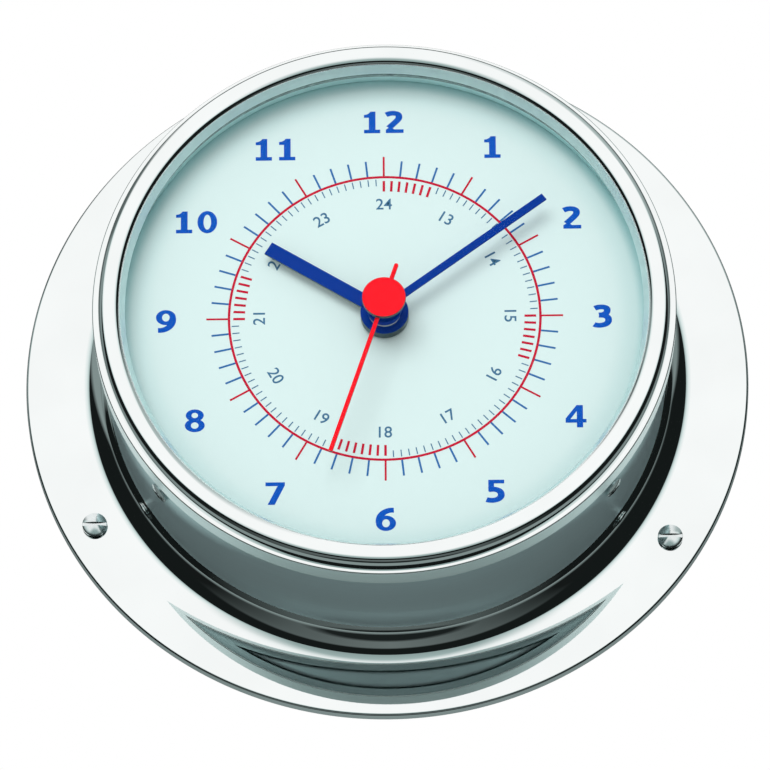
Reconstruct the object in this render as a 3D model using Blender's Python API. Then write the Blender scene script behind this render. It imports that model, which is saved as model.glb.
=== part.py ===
# A bulkhead clock of polished steel, with its quartz movement, standing against a wall.
#
# The file is a Blender script. Everything is modelled in the clock's own directions: x to the
# right and y up as the dial is read, z out of the wall towards the reader. One empty, named
# wall_plane, turns that into the world's directions: the dial faces -Y and 12 o'clock is +Z.
# The world's origin is the centre of the flange's back, on the wall.

import math

import bmesh
import bpy
from mathutils import Matrix, Vector

MM = 0.001

# Clearances
FIT_GAP = 0.25 * MM
RUNNING_GAP = 0.3 * MM
TRAIN_END_GAP = 0.55 * MM

# Case: one spun shell, a drum with a wide flange whose rim turns down to the wall
FLANGE_RADIUS = 60.0 * MM
FLANGE_HEIGHT = 1.7 * MM
FLANGE_EDGE_ROUND = 0.5 * MM
SHEET = 0.8 * MM
DRUM_RADIUS = 45.9 * MM
FOOT_FILLET = 5.4 * MM

# Bezel: a half-round bead on a short skirt that hides the drum's front edge
BEAD_INSET = 1.47 * MM
BEAD_RADIUS = 2.2 * MM
SHOULDER_RISE = 4.8 * MM
LEDGE_WIDTH = 0.95 * MM
SKIRT_HEIGHT = 4.0 * MM
SKIRT_TAPER = 0.35 * MM
BEZEL_CORNER = 0.2 * MM
BEZEL_WEB = 0.4 * MM
COLLAR_WALL = 0.6 * MM
COLLAR_DEPTH = 2.6 * MM

# Glass, its seal and the ring that keeps it off the dial
GLASS_THICKNESS = 1.4 * MM
GLASS_RIM_WIDTH = 1.8 * MM
HAND_CLEARANCE = 0.6 * MM
SEAL_HEIGHT = 0.9 * MM
SEAL_WIDTH = 1.2 * MM
SPACER_WIDTH = 1.0 * MM

# Dial and the carrier that holds it
DIAL_THICKNESS = 0.8 * MM
CARRIER_PLATE = 1.8 * MM
CARRIER_FLOOR = 1.6 * MM
CARRIER_SKIRT_WALL = 1.6 * MM
WELL_RADIUS = 9.5 * MM
WELL_WALL = 1.6 * MM

# Screws: three through the flange, three through the drum into the carrier
FLANGE_SCREW_EDGE_DISTANCE = 5.25 * MM
FLANGE_SCREW_TURN = math.radians(2.0)
FLANGE_SCREW_COUNT = 3
FLANGE_SCREW_HEAD_RADIUS = 2.05 * MM
FLANGE_SCREW_HEAD_HEIGHT = 0.9 * MM
FLANGE_SCREW_SHANK_RADIUS = 1.5 * MM
FLANGE_SCREW_LENGTH = 14.0 * MM
SIDE_SCREW_ANGLES = (math.radians(0.0), math.radians(127.0), math.radians(-127.0))
SIDE_SCREW_DROP = 7.4 * MM
SIDE_SCREW_HEAD_RADIUS = 1.75 * MM
SIDE_SCREW_HEAD_HEIGHT = 0.6 * MM
SIDE_SCREW_SHANK_RADIUS = 1.1 * MM
SIDE_SCREW_LENGTH = 4.6 * MM
SLOT_WIDTH = 0.6 * MM
SLOT_DEPTH = 0.4 * MM

# Hands: heights are rises above the dial or above the piece below
HOUR_HAND_LENGTH = 22.3 * MM
HOUR_HAND_WIDTH = 2.36 * MM
HOUR_DISC_RADIUS = 3.93 * MM
HOUR_DISC_HEIGHT = 1.75 * MM
HOUR_DISC_RISE = 0.4 * MM
MINUTE_HAND_LENGTH = 32.8 * MM
MINUTE_HAND_WIDTH = 1.3 * MM
MINUTE_DISC_RADIUS = 2.8 * MM
MINUTE_DISC_HEIGHT = 1.15 * MM
MINUTE_DISC_RISE = 0.7 * MM
SECOND_HAND_LENGTH = 28.2 * MM
SECOND_HAND_TAIL = 6.8 * MM
SECOND_HAND_WIDTH = 0.7 * MM
SECOND_TUBE_RADIUS = 1.3 * MM
SECOND_TUBE_HEIGHT = 2.6 * MM
BLADE_THICKNESS = 0.4 * MM
CAP_RADIUS = 3.57 * MM
CAP_HEIGHT = 0.75 * MM
CAP_EDGE_ROUND = 0.15 * MM
HOUR_HAND_ANGLE = math.radians(301.85)
MINUTE_HAND_ANGLE = math.radians(53.2)
SECOND_HAND_ANGLE = math.radians(198.2)

# Arbors and pipes on the centre line, each inside the next
SECOND_ARBOR_RADIUS = 0.6 * MM
PIPE_WALL = 0.75 * MM

# Gear train
GEAR_THICKNESS = 1.2 * MM
GEAR_SPACING = 0.75 * MM
ARBOR_RADIUS = 0.6 * MM
MOTION_MODULE = 0.6 * MM
THIRD_WHEEL_MODULE = 0.45 * MM
SECONDS_WHEEL_MODULE = 0.45 * MM
ROTOR_MODULE = 0.36 * MM
CANNON_TEETH = 10
MOTION_WHEEL_TEETH = 30
MOTION_PINION_TEETH = 8
HOUR_WHEEL_TEETH = 32
SECONDS_PINION_TEETH = 6
THIRD_WHEEL_TEETH = 45
THIRD_PINION_TEETH = 6
CENTRE_WHEEL_TEETH = 48
SECONDS_WHEEL_TEETH = 30
INTERMEDIATE_PINION_TEETH = 6
INTERMEDIATE_WHEEL_TEETH = 36
ROTOR_PINION_TEETH = 6
MOTION_DIRECTION = math.radians(90.0)
THIRD_DIRECTION = math.radians(300.0)
INTERMEDIATE_DIRECTION = math.radians(30.0)
ROTOR_DIRECTION = math.radians(30.0)

# Movement case
MOVEMENT_TOP = 28.0 * MM
MOVEMENT_WALL = 1.4 * MM
MOVEMENT_FRONT_WALL = 1.0 * MM
MOVEMENT_CORNER = 3.0 * MM
PARTITION_WALL = 1.0 * MM
COVER_THICKNESS = 1.2 * MM
NOSE_RADIUS = 3.9 * MM
NUT_ACROSS_FLATS = 11.0 * MM
NUT_THICKNESS = 1.5 * MM
WASHER_THICKNESS = 0.4 * MM
WASHER_RADIUS = 6.6 * MM
KNOB_RADIUS = 5.5 * MM
KNOB_THICKNESS = 2.5 * MM
KNOB_WALL_GAP = 2.25 * MM
KNOB_RIDGES = 18
KNOB_RIDGE_HEIGHT = 0.4 * MM
KNOB_HOLLOW_RADIUS = 3.3 * MM
KNOB_HOLLOW_DEPTH = 1.0 * MM

# Cell and contacts
CELL_RADIUS = 7.1 * MM
CELL_LENGTH = 50.5 * MM
CELL_NUB_RADIUS = 2.7 * MM
CELL_NUB_LENGTH = 1.3 * MM
CELL_EDGE_ROUND = 0.6 * MM
CONTACT_THICKNESS = 0.4 * MM
CONTACT_WIDTH = 8.0 * MM

# Motor and circuit
MAGNET_RADIUS = 2.2 * MM
MAGNET_HEIGHT = 1.9 * MM
STATOR_THICKNESS = 0.8 * MM
STATOR_HALF_LENGTH = 11.0 * MM
STATOR_LEG_WIDTH = 3.6 * MM
STATOR_BAR_MARGIN = 1.3 * MM
COIL_RADIUS = 3.2 * MM
COIL_WIRE_RADIUS = 2.8 * MM
COIL_CORE_RADIUS = 1.25 * MM
COIL_FLANGE = 0.8 * MM
BOARD_LENGTH = 19.0 * MM
BOARD_WIDTH = 8.0 * MM
BOARD_THICKNESS = 1.0 * MM
CRYSTAL_RADIUS = 0.95 * MM
CRYSTAL_LENGTH = 6.0 * MM

# How finely round shapes are cut
CASE_STEPS = 48
INNER_STEPS = 36
SMALL_STEPS = 16
TINY_STEPS = 10
BEAD_STEPS = 8
FILLET_STEPS = 6
DOME_STEPS = 5
SCREW_DOME_STEPS = 2
EDGE_STEPS = 2
SHARP_ANGLE = math.radians(35.0)
MERGE_DISTANCE = 0.001 * MM

# Places along z, worked out from the wall forwards
KNOB_BACK_Z = KNOB_WALL_GAP
KNOB_FRONT_Z = KNOB_BACK_Z + KNOB_THICKNESS
MOVEMENT_BACK_Z = KNOB_FRONT_Z + FIT_GAP
COVER_INNER_Z = MOVEMENT_BACK_Z + COVER_THICKNESS
LEVEL_PITCH = GEAR_THICKNESS + GEAR_SPACING
INTERMEDIATE_LEVEL = 0
SECONDS_LEVEL = 1
THIRD_LEVEL = 2
PLATE_LEVEL = 3
CENTRE_LEVEL = 4
CANNON_LEVEL = 5
HOUR_LEVEL = 6


def level_z(level):
    """The back face of the gears on one level, counted from the back cover."""
    return COVER_INNER_Z + TRAIN_END_GAP + level * LEVEL_PITCH


TRAIN_FRONT_Z = level_z(HOUR_LEVEL) + GEAR_THICKNESS + TRAIN_END_GAP
MOVEMENT_FRONT_Z = TRAIN_FRONT_Z + MOVEMENT_FRONT_WALL
FLOOR_BACK_Z = MOVEMENT_FRONT_Z + FIT_GAP
FLOOR_FRONT_Z = FLOOR_BACK_Z + CARRIER_FLOOR
WASHER_Z = FLOOR_FRONT_Z + FIT_GAP
NUT_Z = WASHER_Z + WASHER_THICKNESS + FIT_GAP
CARRIER_FRONT_Z = NUT_Z + NUT_THICKNESS
DIAL_BACK_Z = CARRIER_FRONT_Z + FIT_GAP
DIAL_FACE_Z = DIAL_BACK_Z + DIAL_THICKNESS
SHOULDER_Z = DIAL_FACE_Z + SHOULDER_RISE
SKIRT_BOTTOM_Z = SHOULDER_Z - SKIRT_HEIGHT
DRUM_FRONT_Z = SHOULDER_Z - BEZEL_WEB - FIT_GAP
SIDE_SCREW_Z = SKIRT_BOTTOM_Z - SIDE_SCREW_DROP
GLASS_EDGE_TOP_Z = SHOULDER_Z - FIT_GAP
GLASS_EDGE_BOTTOM_Z = GLASS_EDGE_TOP_Z - GLASS_THICKNESS
SEAL_TOP_Z = GLASS_EDGE_BOTTOM_Z - FIT_GAP
SEAL_BOTTOM_Z = SEAL_TOP_Z - SEAL_HEIGHT
HOUR_DISC_Z = DIAL_FACE_Z + HOUR_DISC_RISE
HOUR_DISC_TOP_Z = HOUR_DISC_Z + HOUR_DISC_HEIGHT
MINUTE_DISC_Z = HOUR_DISC_TOP_Z + MINUTE_DISC_RISE
MINUTE_DISC_TOP_Z = MINUTE_DISC_Z + MINUTE_DISC_HEIGHT
SECOND_TUBE_Z = MINUTE_DISC_TOP_Z + RUNNING_GAP
SECOND_BLADE_TOP_Z = SECOND_TUBE_Z + SECOND_TUBE_HEIGHT
CAP_Z = SECOND_BLADE_TOP_Z + FIT_GAP
CAP_TOP_Z = CAP_Z + CAP_HEIGHT

# Radii worked out from the flange and the drum inwards
FLANGE_SCREW_CIRCLE = FLANGE_RADIUS - FLANGE_SCREW_EDGE_DISTANCE
DRUM_INNER_RADIUS = DRUM_RADIUS - SHEET
BEAD_CENTRE_RADIUS = DRUM_RADIUS - BEAD_INSET
BEZEL_OUTER_RADIUS = BEAD_CENTRE_RADIUS + BEAD_RADIUS + LEDGE_WIDTH
GROOVE_OUTER_RADIUS = DRUM_RADIUS + FIT_GAP
COLLAR_OUTER_RADIUS = DRUM_INNER_RADIUS - FIT_GAP
COLLAR_INNER_RADIUS = COLLAR_OUTER_RADIUS - COLLAR_WALL
GLASS_RADIUS = COLLAR_INNER_RADIUS - FIT_GAP
GLASS_DOME_RADIUS = GLASS_RADIUS - GLASS_RIM_WIDTH

# The glass domes up far enough to clear the tip of the second hand and the cap over the middle
TIP_SHARE = SECOND_HAND_LENGTH / GLASS_DOME_RADIUS
RISE_OVER_TIP = (SECOND_BLADE_TOP_Z + HAND_CLEARANCE - GLASS_EDGE_BOTTOM_Z) / (1.0 - TIP_SHARE**2)
RISE_OVER_CAP = CAP_TOP_Z + HAND_CLEARANCE - GLASS_EDGE_BOTTOM_Z
GLASS_CROWN_INNER_Z = GLASS_EDGE_BOTTOM_Z + max(RISE_OVER_TIP, RISE_OVER_CAP)

CARRIER_RADIUS = DRUM_INNER_RADIUS - FIT_GAP
CARRIER_SKIRT_RADIUS = CARRIER_RADIUS - CARRIER_SKIRT_WALL
MINUTE_PIPE_BORE = SECOND_ARBOR_RADIUS + RUNNING_GAP
MINUTE_PIPE_RADIUS = MINUTE_PIPE_BORE + PIPE_WALL
HOUR_PIPE_BORE = MINUTE_PIPE_RADIUS + RUNNING_GAP
HOUR_PIPE_RADIUS = HOUR_PIPE_BORE + PIPE_WALL
NOSE_BORE = HOUR_PIPE_RADIUS + RUNNING_GAP

# Centre distances of the train. The third wheel runs on both the seconds arbor and the centre
# wheel, which share one axis, so the centre wheel's module follows from the third wheel's.
MOTION_DISTANCE = MOTION_MODULE * (CANNON_TEETH + MOTION_WHEEL_TEETH) / 2
HOUR_MODULE = 2 * MOTION_DISTANCE / (MOTION_PINION_TEETH + HOUR_WHEEL_TEETH)
THIRD_DISTANCE = THIRD_WHEEL_MODULE * (SECONDS_PINION_TEETH + THIRD_WHEEL_TEETH) / 2
CENTRE_MODULE = 2 * THIRD_DISTANCE / (THIRD_PINION_TEETH + CENTRE_WHEEL_TEETH)
INTERMEDIATE_DISTANCE = SECONDS_WHEEL_MODULE * (INTERMEDIATE_PINION_TEETH + SECONDS_WHEEL_TEETH) / 2
ROTOR_DISTANCE = ROTOR_MODULE * (ROTOR_PINION_TEETH + INTERMEDIATE_WHEEL_TEETH) / 2

# Tooth form: heights in modules, widths as a share of the pitch, and the tip's share of the foot
ADDENDUM = 0.9
DEDENDUM = 1.25
WHEEL_TOOTH_SHARE = 0.4
PINION_LEAF_SHARE = 0.34
TOOTH_TIP_SHARE = 0.5


def direction(angle):
    """A unit vector at a clockwise angle from 12 o'clock, as the dial is read."""
    return Vector((math.sin(angle), math.cos(angle), 0.0))


CENTRE_AXIS = Vector((0.0, 0.0, 0.0))
MOTION_AXIS = MOTION_DISTANCE * direction(MOTION_DIRECTION)
THIRD_AXIS = THIRD_DISTANCE * direction(THIRD_DIRECTION)
INTERMEDIATE_AXIS = INTERMEDIATE_DISTANCE * direction(INTERMEDIATE_DIRECTION)
ROTOR_AXIS = INTERMEDIATE_AXIS + ROTOR_DISTANCE * direction(ROTOR_DIRECTION)

# Outline of the movement's case, worked out from what it holds
CENTRE_WHEEL_TIP = CENTRE_MODULE * (CENTRE_WHEEL_TEETH / 2 + ADDENDUM)
PARTITION_Y = -(CENTRE_WHEEL_TIP + RUNNING_GAP)
CELL_Y = PARTITION_Y - PARTITION_WALL - FIT_GAP - CELL_RADIUS
MOVEMENT_BOTTOM = CELL_Y - CELL_RADIUS - FIT_GAP - MOVEMENT_WALL
BAY_HALF_LENGTH = CELL_LENGTH / 2 + 2 * FIT_GAP + CONTACT_THICKNESS
MOVEMENT_HALF_WIDTH = BAY_HALF_LENGTH + MOVEMENT_WALL
CELL_Z = TRAIN_FRONT_Z - FIT_GAP - CELL_RADIUS
COIL_Y = MOVEMENT_TOP - MOVEMENT_WALL - FIT_GAP - COIL_RADIUS
STATOR_Z = level_z(SECONDS_LEVEL) + GEAR_THICKNESS / 2

# Colours: base colour, metallic, roughness
POLISHED_STEEL = ((0.80, 0.82, 0.82), 1.0, 0.06)
SCREW_STEEL = ((0.70, 0.72, 0.72), 1.0, 0.22)
CLEAR_GLASS = ((0.93, 0.98, 0.97), 0.0, 0.02)
BLACK_RUBBER = ((0.03, 0.03, 0.03), 0.0, 0.8)
DIAL_WHITE = ((0.86, 0.95, 0.94), 0.0, 0.45)
CARRIER_GREY = ((0.35, 0.37, 0.38), 0.0, 0.5)
NAVY_LACQUER = ((0.0, 0.028, 0.26), 0.0, 0.3)
RED_LACQUER = ((0.85, 0.012, 0.022), 0.0, 0.3)
MOVEMENT_BLACK = ((0.025, 0.025, 0.028), 0.0, 0.4)
WHEEL_WHITE = ((0.82, 0.80, 0.74), 0.0, 0.4)
BRASS = ((0.78, 0.57, 0.25), 1.0, 0.25)
COPPER = ((0.72, 0.33, 0.16), 1.0, 0.3)
NICKEL = ((0.62, 0.60, 0.56), 1.0, 0.3)
CELL_GREEN = ((0.10, 0.30, 0.22), 0.0, 0.35)
BOARD_BROWN = ((0.24, 0.16, 0.06), 0.0, 0.5)


def clear_scene():
    for item in list(bpy.data.objects):
        bpy.data.objects.remove(item, do_unlink=True)


def material(name, finish):
    colour, metallic, roughness = finish
    made = bpy.data.materials.new(name)
    made.use_nodes = True
    shader = made.node_tree.nodes["Principled BSDF"]
    shader.inputs["Base Color"].default_value = (*colour, 1.0)
    shader.inputs["Metallic"].default_value = metallic
    shader.inputs["Roughness"].default_value = roughness
    return made


def arc(centre_r, centre_z, radius, start, end, steps):
    """Points (r, z) on an arc in the turned section, angles from +r towards +z."""
    points = []
    for step in range(steps + 1):
        angle = math.radians(start + (end - start) * step / steps)
        points.append((centre_r + radius * math.cos(angle), centre_z + radius * math.sin(angle)))
    return points


def turned(profile, steps):
    """A closed section (r, z) turned once about z."""
    shape = bmesh.new()
    section = [shape.verts.new((r, 0.0, z)) for r, z in profile]
    edges = [shape.edges.new((a, b)) for a, b in zip(section, section[1:])]
    if profile[0][0] > MERGE_DISTANCE or profile[-1][0] > MERGE_DISTANCE:
        edges.append(shape.edges.new((section[-1], section[0])))
    bmesh.ops.spin(
        shape,
        geom=section + edges,
        cent=(0.0, 0.0, 0.0),
        axis=(0.0, 0.0, 1.0),
        angle=math.tau,
        steps=steps,
        use_merge=True,
    )
    bmesh.ops.remove_doubles(shape, verts=shape.verts, dist=MERGE_DISTANCE)
    return finished(shape)


def prism(outline, bottom, top, holes=()):
    """A flat outline with holes, all lists of (x, y), extruded from bottom to top."""
    shape = bmesh.new()
    edges = []
    for loop in (outline, *holes):
        ring = [shape.verts.new((x, y, bottom)) for x, y in loop]
        edges += [shape.edges.new((a, b)) for a, b in zip(ring, ring[1:] + ring[:1])]
    bmesh.ops.triangle_fill(shape, use_beauty=True, edges=edges)
    raised = bmesh.ops.extrude_face_region(shape, geom=shape.faces[:])
    corners = [item for item in raised["geom"] if isinstance(item, bmesh.types.BMVert)]
    bmesh.ops.translate(shape, verts=corners, vec=(0.0, 0.0, top - bottom))
    return finished(shape)


def finished(shape):
    bmesh.ops.recalc_face_normals(shape, faces=shape.faces)
    mesh = bpy.data.meshes.new("shape")
    shape.to_mesh(mesh)
    shape.free()
    return mesh


def moved(mesh, turn=None, shift=(0.0, 0.0, 0.0)):
    """The same mesh, turned by a matrix and then shifted."""
    place = Matrix.Translation(shift)
    if turn is not None:
        place = place @ turn.to_4x4()
    mesh.transform(place)
    return mesh


def circle(radius, steps, centre=(0.0, 0.0)):
    turns = [math.tau * step / steps for step in range(steps)]
    return [(centre[0] + radius * math.cos(turn), centre[1] + radius * math.sin(turn)) for turn in turns]


def rectangle(left, right, low, high):
    return [(left, low), (right, low), (right, high), (left, high)]


def rounded_rectangle(left, right, low, high, radius, steps=4):
    points = []
    corners = ((right, high, 0.0), (left, high, 90.0), (left, low, 180.0), (right, low, 270.0))
    for x, y, start in corners:
        middle_x = x - math.copysign(radius, x)
        middle_y = y - math.copysign(radius, y)
        points += arc(middle_x, middle_y, radius, start, start + 90.0, steps)
    return points


def cylinder(radius, bottom, top, steps=SMALL_STEPS):
    return turned([(0.0, top), (radius, top), (radius, bottom), (0.0, bottom)], steps)


def cut_or_join(base, tools, operation):
    """The base mesh after an exact Boolean with each tool mesh in turn."""
    body = bpy.data.objects.new("body", base)
    bpy.context.scene.collection.objects.link(body)
    for tool in tools:
        helper = bpy.data.objects.new("helper", tool)
        bpy.context.scene.collection.objects.link(helper)
        change = body.modifiers.new("change", "BOOLEAN")
        change.operation = operation
        change.solver = "EXACT"
        change.object = helper
        bpy.context.view_layer.update()
        evaluated = body.evaluated_get(bpy.context.evaluated_depsgraph_get())
        result = bpy.data.meshes.new_from_object(evaluated)
        body.modifiers.clear()
        body.data = result
        bpy.data.objects.remove(helper, do_unlink=True)
    bpy.data.objects.remove(body, do_unlink=True)
    return result


def cut(base, *tools):
    return cut_or_join(base, tools, "DIFFERENCE")


def joined(base, *tools):
    return cut_or_join(base, tools, "UNION")


def node(name, mesh, finish, parent, axis=CENTRE_AXIS):
    """One named piece. Its mesh is given on its own axis, where its origin then stands."""
    piece = bpy.data.objects.new(name, mesh)
    bpy.context.scene.collection.objects.link(piece)
    mesh.name = name
    mesh.materials.clear()
    mesh.materials.append(material(name, finish))
    mesh.shade_smooth()
    mesh.set_sharp_from_angle(angle=SHARP_ANGLE)
    piece.parent = parent
    piece.location = axis
    return piece


# Case pieces


def case_body(parent):
    foot = DRUM_RADIUS + FOOT_FILLET
    foot_z = FLANGE_HEIGHT + FOOT_FILLET
    edge = FLANGE_RADIUS - FLANGE_EDGE_ROUND
    profile = [(DRUM_RADIUS, DRUM_FRONT_Z)]
    profile += arc(foot, foot_z, FOOT_FILLET, 180.0, 270.0, FILLET_STEPS)
    profile += arc(edge, FLANGE_HEIGHT - FLANGE_EDGE_ROUND, FLANGE_EDGE_ROUND, 90.0, 0.0, EDGE_STEPS)
    profile += [(FLANGE_RADIUS, 0.0), (FLANGE_RADIUS - SHEET, 0.0)]
    profile += [(FLANGE_RADIUS - SHEET, FLANGE_HEIGHT - SHEET)]
    profile += arc(foot, foot_z, FOOT_FILLET + SHEET, 270.0, 180.0, FILLET_STEPS - 1)
    profile += [(DRUM_INNER_RADIUS, DRUM_FRONT_Z)]
    drills = []
    for place in flange_screw_places():
        drill = cylinder(FLANGE_SCREW_SHANK_RADIUS + FIT_GAP, -SHEET, FLANGE_HEIGHT + SHEET, TINY_STEPS)
        drills.append(moved(drill, None, place))
    drills += side_screw_drills(2 * SHEET)
    node("case_body", cut(turned(profile, CASE_STEPS), *drills), POLISHED_STEEL, parent)


def flange_screw_places():
    return [
        FLANGE_SCREW_CIRCLE * direction(FLANGE_SCREW_TURN + math.tau * index / FLANGE_SCREW_COUNT)
        for index in range(FLANGE_SCREW_COUNT)
    ]


def side_screw_turned(mesh, angle):
    """Turns a mesh made along z so that z points out of the drum's side at that angle."""
    outward = direction(angle)
    along = Vector((0.0, 0.0, 1.0))
    sideways = along.cross(outward)
    turn = Matrix((sideways, along, outward)).transposed()
    return moved(mesh, turn, DRUM_RADIUS * outward + SIDE_SCREW_Z * along)


def side_screw_drills(depth):
    """Cutters for the side screws' shanks, reaching that deep from the drum's outside."""
    radius = SIDE_SCREW_SHANK_RADIUS + FIT_GAP
    return [
        side_screw_turned(cylinder(radius, -depth, SHEET, TINY_STEPS), angle) for angle in SIDE_SCREW_ANGLES
    ]


def bezel_ring(parent):
    bead_inner = BEAD_CENTRE_RADIUS - BEAD_RADIUS
    skirt = BEZEL_OUTER_RADIUS - BEZEL_CORNER
    shoulder = skirt - SKIRT_TAPER
    profile = arc(BEAD_CENTRE_RADIUS, SHOULDER_Z, BEAD_RADIUS, 180.0, 0.0, BEAD_STEPS)
    profile += arc(shoulder, SHOULDER_Z - BEZEL_CORNER, BEZEL_CORNER, 90.0, 0.0, 1)
    profile += arc(skirt, SKIRT_BOTTOM_Z + BEZEL_CORNER, BEZEL_CORNER, 0.0, -90.0, 1)
    profile += [(GROOVE_OUTER_RADIUS, SKIRT_BOTTOM_Z)]
    profile += [(GROOVE_OUTER_RADIUS, SHOULDER_Z - BEZEL_WEB)]
    profile += [(COLLAR_OUTER_RADIUS, SHOULDER_Z - BEZEL_WEB)]
    profile += [(COLLAR_OUTER_RADIUS, SHOULDER_Z - COLLAR_DEPTH)]
    profile += [(COLLAR_INNER_RADIUS, SHOULDER_Z - COLLAR_DEPTH)]
    profile += [(COLLAR_INNER_RADIUS, SHOULDER_Z - FIT_GAP / 2)]
    profile += [(bead_inner, SHOULDER_Z - FIT_GAP / 2)]
    node("bezel_ring", turned(profile, CASE_STEPS), POLISHED_STEEL, parent)


def dome(edge_radius, edge_z, crown_z, steps):
    """Points from the edge of a shallow dome to its crown on the axis."""
    rise = crown_z - edge_z
    ball = (edge_radius**2 + rise**2) / (2 * rise)
    centre_z = crown_z - ball
    start = math.degrees(math.asin((edge_z - centre_z) / ball))
    points = arc(0.0, centre_z, ball, start, 90.0, steps)
    points[-1] = (0.0, crown_z)
    return points


def glass_lens(parent):
    crown = GLASS_CROWN_INNER_Z + GLASS_THICKNESS
    inner = dome(GLASS_DOME_RADIUS, GLASS_EDGE_BOTTOM_Z, GLASS_CROWN_INNER_Z, DOME_STEPS)
    outer = dome(GLASS_DOME_RADIUS, GLASS_EDGE_TOP_Z, crown, DOME_STEPS)
    profile = outer[::-1]
    profile += [(GLASS_RADIUS, GLASS_EDGE_TOP_Z), (GLASS_RADIUS, GLASS_EDGE_BOTTOM_Z)]
    profile += inner
    node("glass_lens", turned(profile, INNER_STEPS), CLEAR_GLASS, parent)


def ring(outer, inner, bottom, top, steps):
    return turned([(outer, top), (outer, bottom), (inner, bottom), (inner, top)], steps)


def glass_seal(parent):
    mesh = ring(GLASS_RADIUS, GLASS_RADIUS - SEAL_WIDTH, SEAL_BOTTOM_Z, SEAL_TOP_Z, INNER_STEPS)
    node("glass_seal", mesh, BLACK_RUBBER, parent)


def dial_spacer_ring(parent):
    outer = COLLAR_INNER_RADIUS - FIT_GAP
    mesh = ring(outer, outer - SPACER_WIDTH, DIAL_FACE_Z + FIT_GAP, SEAL_BOTTOM_Z - FIT_GAP, INNER_STEPS)
    node("dial_spacer_ring", mesh, POLISHED_STEEL, parent)


def dial_plate(parent):
    mesh = ring(COLLAR_OUTER_RADIUS, NOSE_BORE, DIAL_BACK_Z, DIAL_FACE_Z, INNER_STEPS)
    node("dial_plate", mesh, DIAL_WHITE, parent)


def dial_carrier(parent):
    well = WELL_RADIUS + WELL_WALL
    plate_back = CARRIER_FRONT_Z - CARRIER_PLATE
    skirt_bottom = SIDE_SCREW_Z - 2 * SIDE_SCREW_HEAD_RADIUS
    profile = [
        (NOSE_RADIUS + FIT_GAP, FLOOR_FRONT_Z),
        (WELL_RADIUS, FLOOR_FRONT_Z),
        (WELL_RADIUS, CARRIER_FRONT_Z),
        (CARRIER_RADIUS, CARRIER_FRONT_Z),
        (CARRIER_RADIUS, skirt_bottom),
        (CARRIER_SKIRT_RADIUS, skirt_bottom),
        (CARRIER_SKIRT_RADIUS, plate_back),
        (well, plate_back),
        (well, FLOOR_BACK_Z),
        (NOSE_RADIUS + FIT_GAP, FLOOR_BACK_Z),
    ]
    drills = side_screw_drills(SHEET + FIT_GAP + 2 * CARRIER_SKIRT_WALL)
    node("dial_carrier", cut(turned(profile, INNER_STEPS), *drills), CARRIER_GREY, parent)


# Screws


def slotted_screw(head_radius, head_height, shank_radius, length):
    """A raised slotted screw along z, its head's underside at z = 0."""
    rim = head_height / 2
    profile = [(0.0, head_height)]
    profile += dome(head_radius, rim, head_height, SCREW_DOME_STEPS)[-2::-1]
    profile += [(head_radius, 0.0), (shank_radius, 0.0)]
    profile += [(shank_radius, shank_radius - length), (0.0, -length)]
    slot = prism(
        rectangle(-2 * head_radius, 2 * head_radius, -SLOT_WIDTH / 2, SLOT_WIDTH / 2),
        head_height - SLOT_DEPTH,
        2 * head_height,
    )
    return cut(turned(profile, TINY_STEPS), slot)


def flange_screws(parent):
    for index, place in enumerate(flange_screw_places(), start=1):
        mesh = slotted_screw(
            FLANGE_SCREW_HEAD_RADIUS,
            FLANGE_SCREW_HEAD_HEIGHT,
            FLANGE_SCREW_SHANK_RADIUS,
            FLANGE_SCREW_LENGTH,
        )
        at = place + Vector((0.0, 0.0, FLANGE_HEIGHT + FIT_GAP))
        node("flange_screw_%d" % index, mesh, SCREW_STEEL, parent, at)


def side_screws(parent):
    for index, angle in enumerate(SIDE_SCREW_ANGLES, start=1):
        mesh = slotted_screw(
            SIDE_SCREW_HEAD_RADIUS, SIDE_SCREW_HEAD_HEIGHT, SIDE_SCREW_SHANK_RADIUS, SIDE_SCREW_LENGTH
        )
        moved(mesh, None, (0.0, 0.0, FIT_GAP))
        node("side_screw_%d" % index, side_screw_turned(mesh, angle), SCREW_STEEL, parent)


# Hands, each pointing at 12 before it is turned to its place


def blade(length, width, tail=0.0):
    return rectangle(-width / 2, width / 2, -tail, length)


def hand_turned(mesh, angle):
    return moved(mesh, Matrix.Rotation(-angle, 3, "Z"))


def disc_hand(length, width, disc_radius, disc_z, disc_height, bore):
    """A flat blade on a thick disc, its top face flush with the disc's."""
    top = disc_z + disc_height
    disc = cylinder(disc_radius, disc_z, top, INNER_STEPS // 2)
    bar = prism(blade(length, width), top - BLADE_THICKNESS, top)
    hole = cylinder(bore, disc_z - disc_height, top + disc_height, TINY_STEPS)
    return cut(joined(disc, bar), hole)


def hour_hand(parent):
    mesh = disc_hand(
        HOUR_HAND_LENGTH,
        HOUR_HAND_WIDTH,
        HOUR_DISC_RADIUS,
        HOUR_DISC_Z,
        HOUR_DISC_HEIGHT,
        HOUR_PIPE_RADIUS + FIT_GAP,
    )
    node("hour_hand", hand_turned(mesh, HOUR_HAND_ANGLE), NAVY_LACQUER, parent)


def minute_hand(parent):
    mesh = disc_hand(
        MINUTE_HAND_LENGTH,
        MINUTE_HAND_WIDTH,
        MINUTE_DISC_RADIUS,
        MINUTE_DISC_Z,
        MINUTE_DISC_HEIGHT,
        MINUTE_PIPE_RADIUS + FIT_GAP,
    )
    node("minute_hand", hand_turned(mesh, MINUTE_HAND_ANGLE), NAVY_LACQUER, parent)


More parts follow.
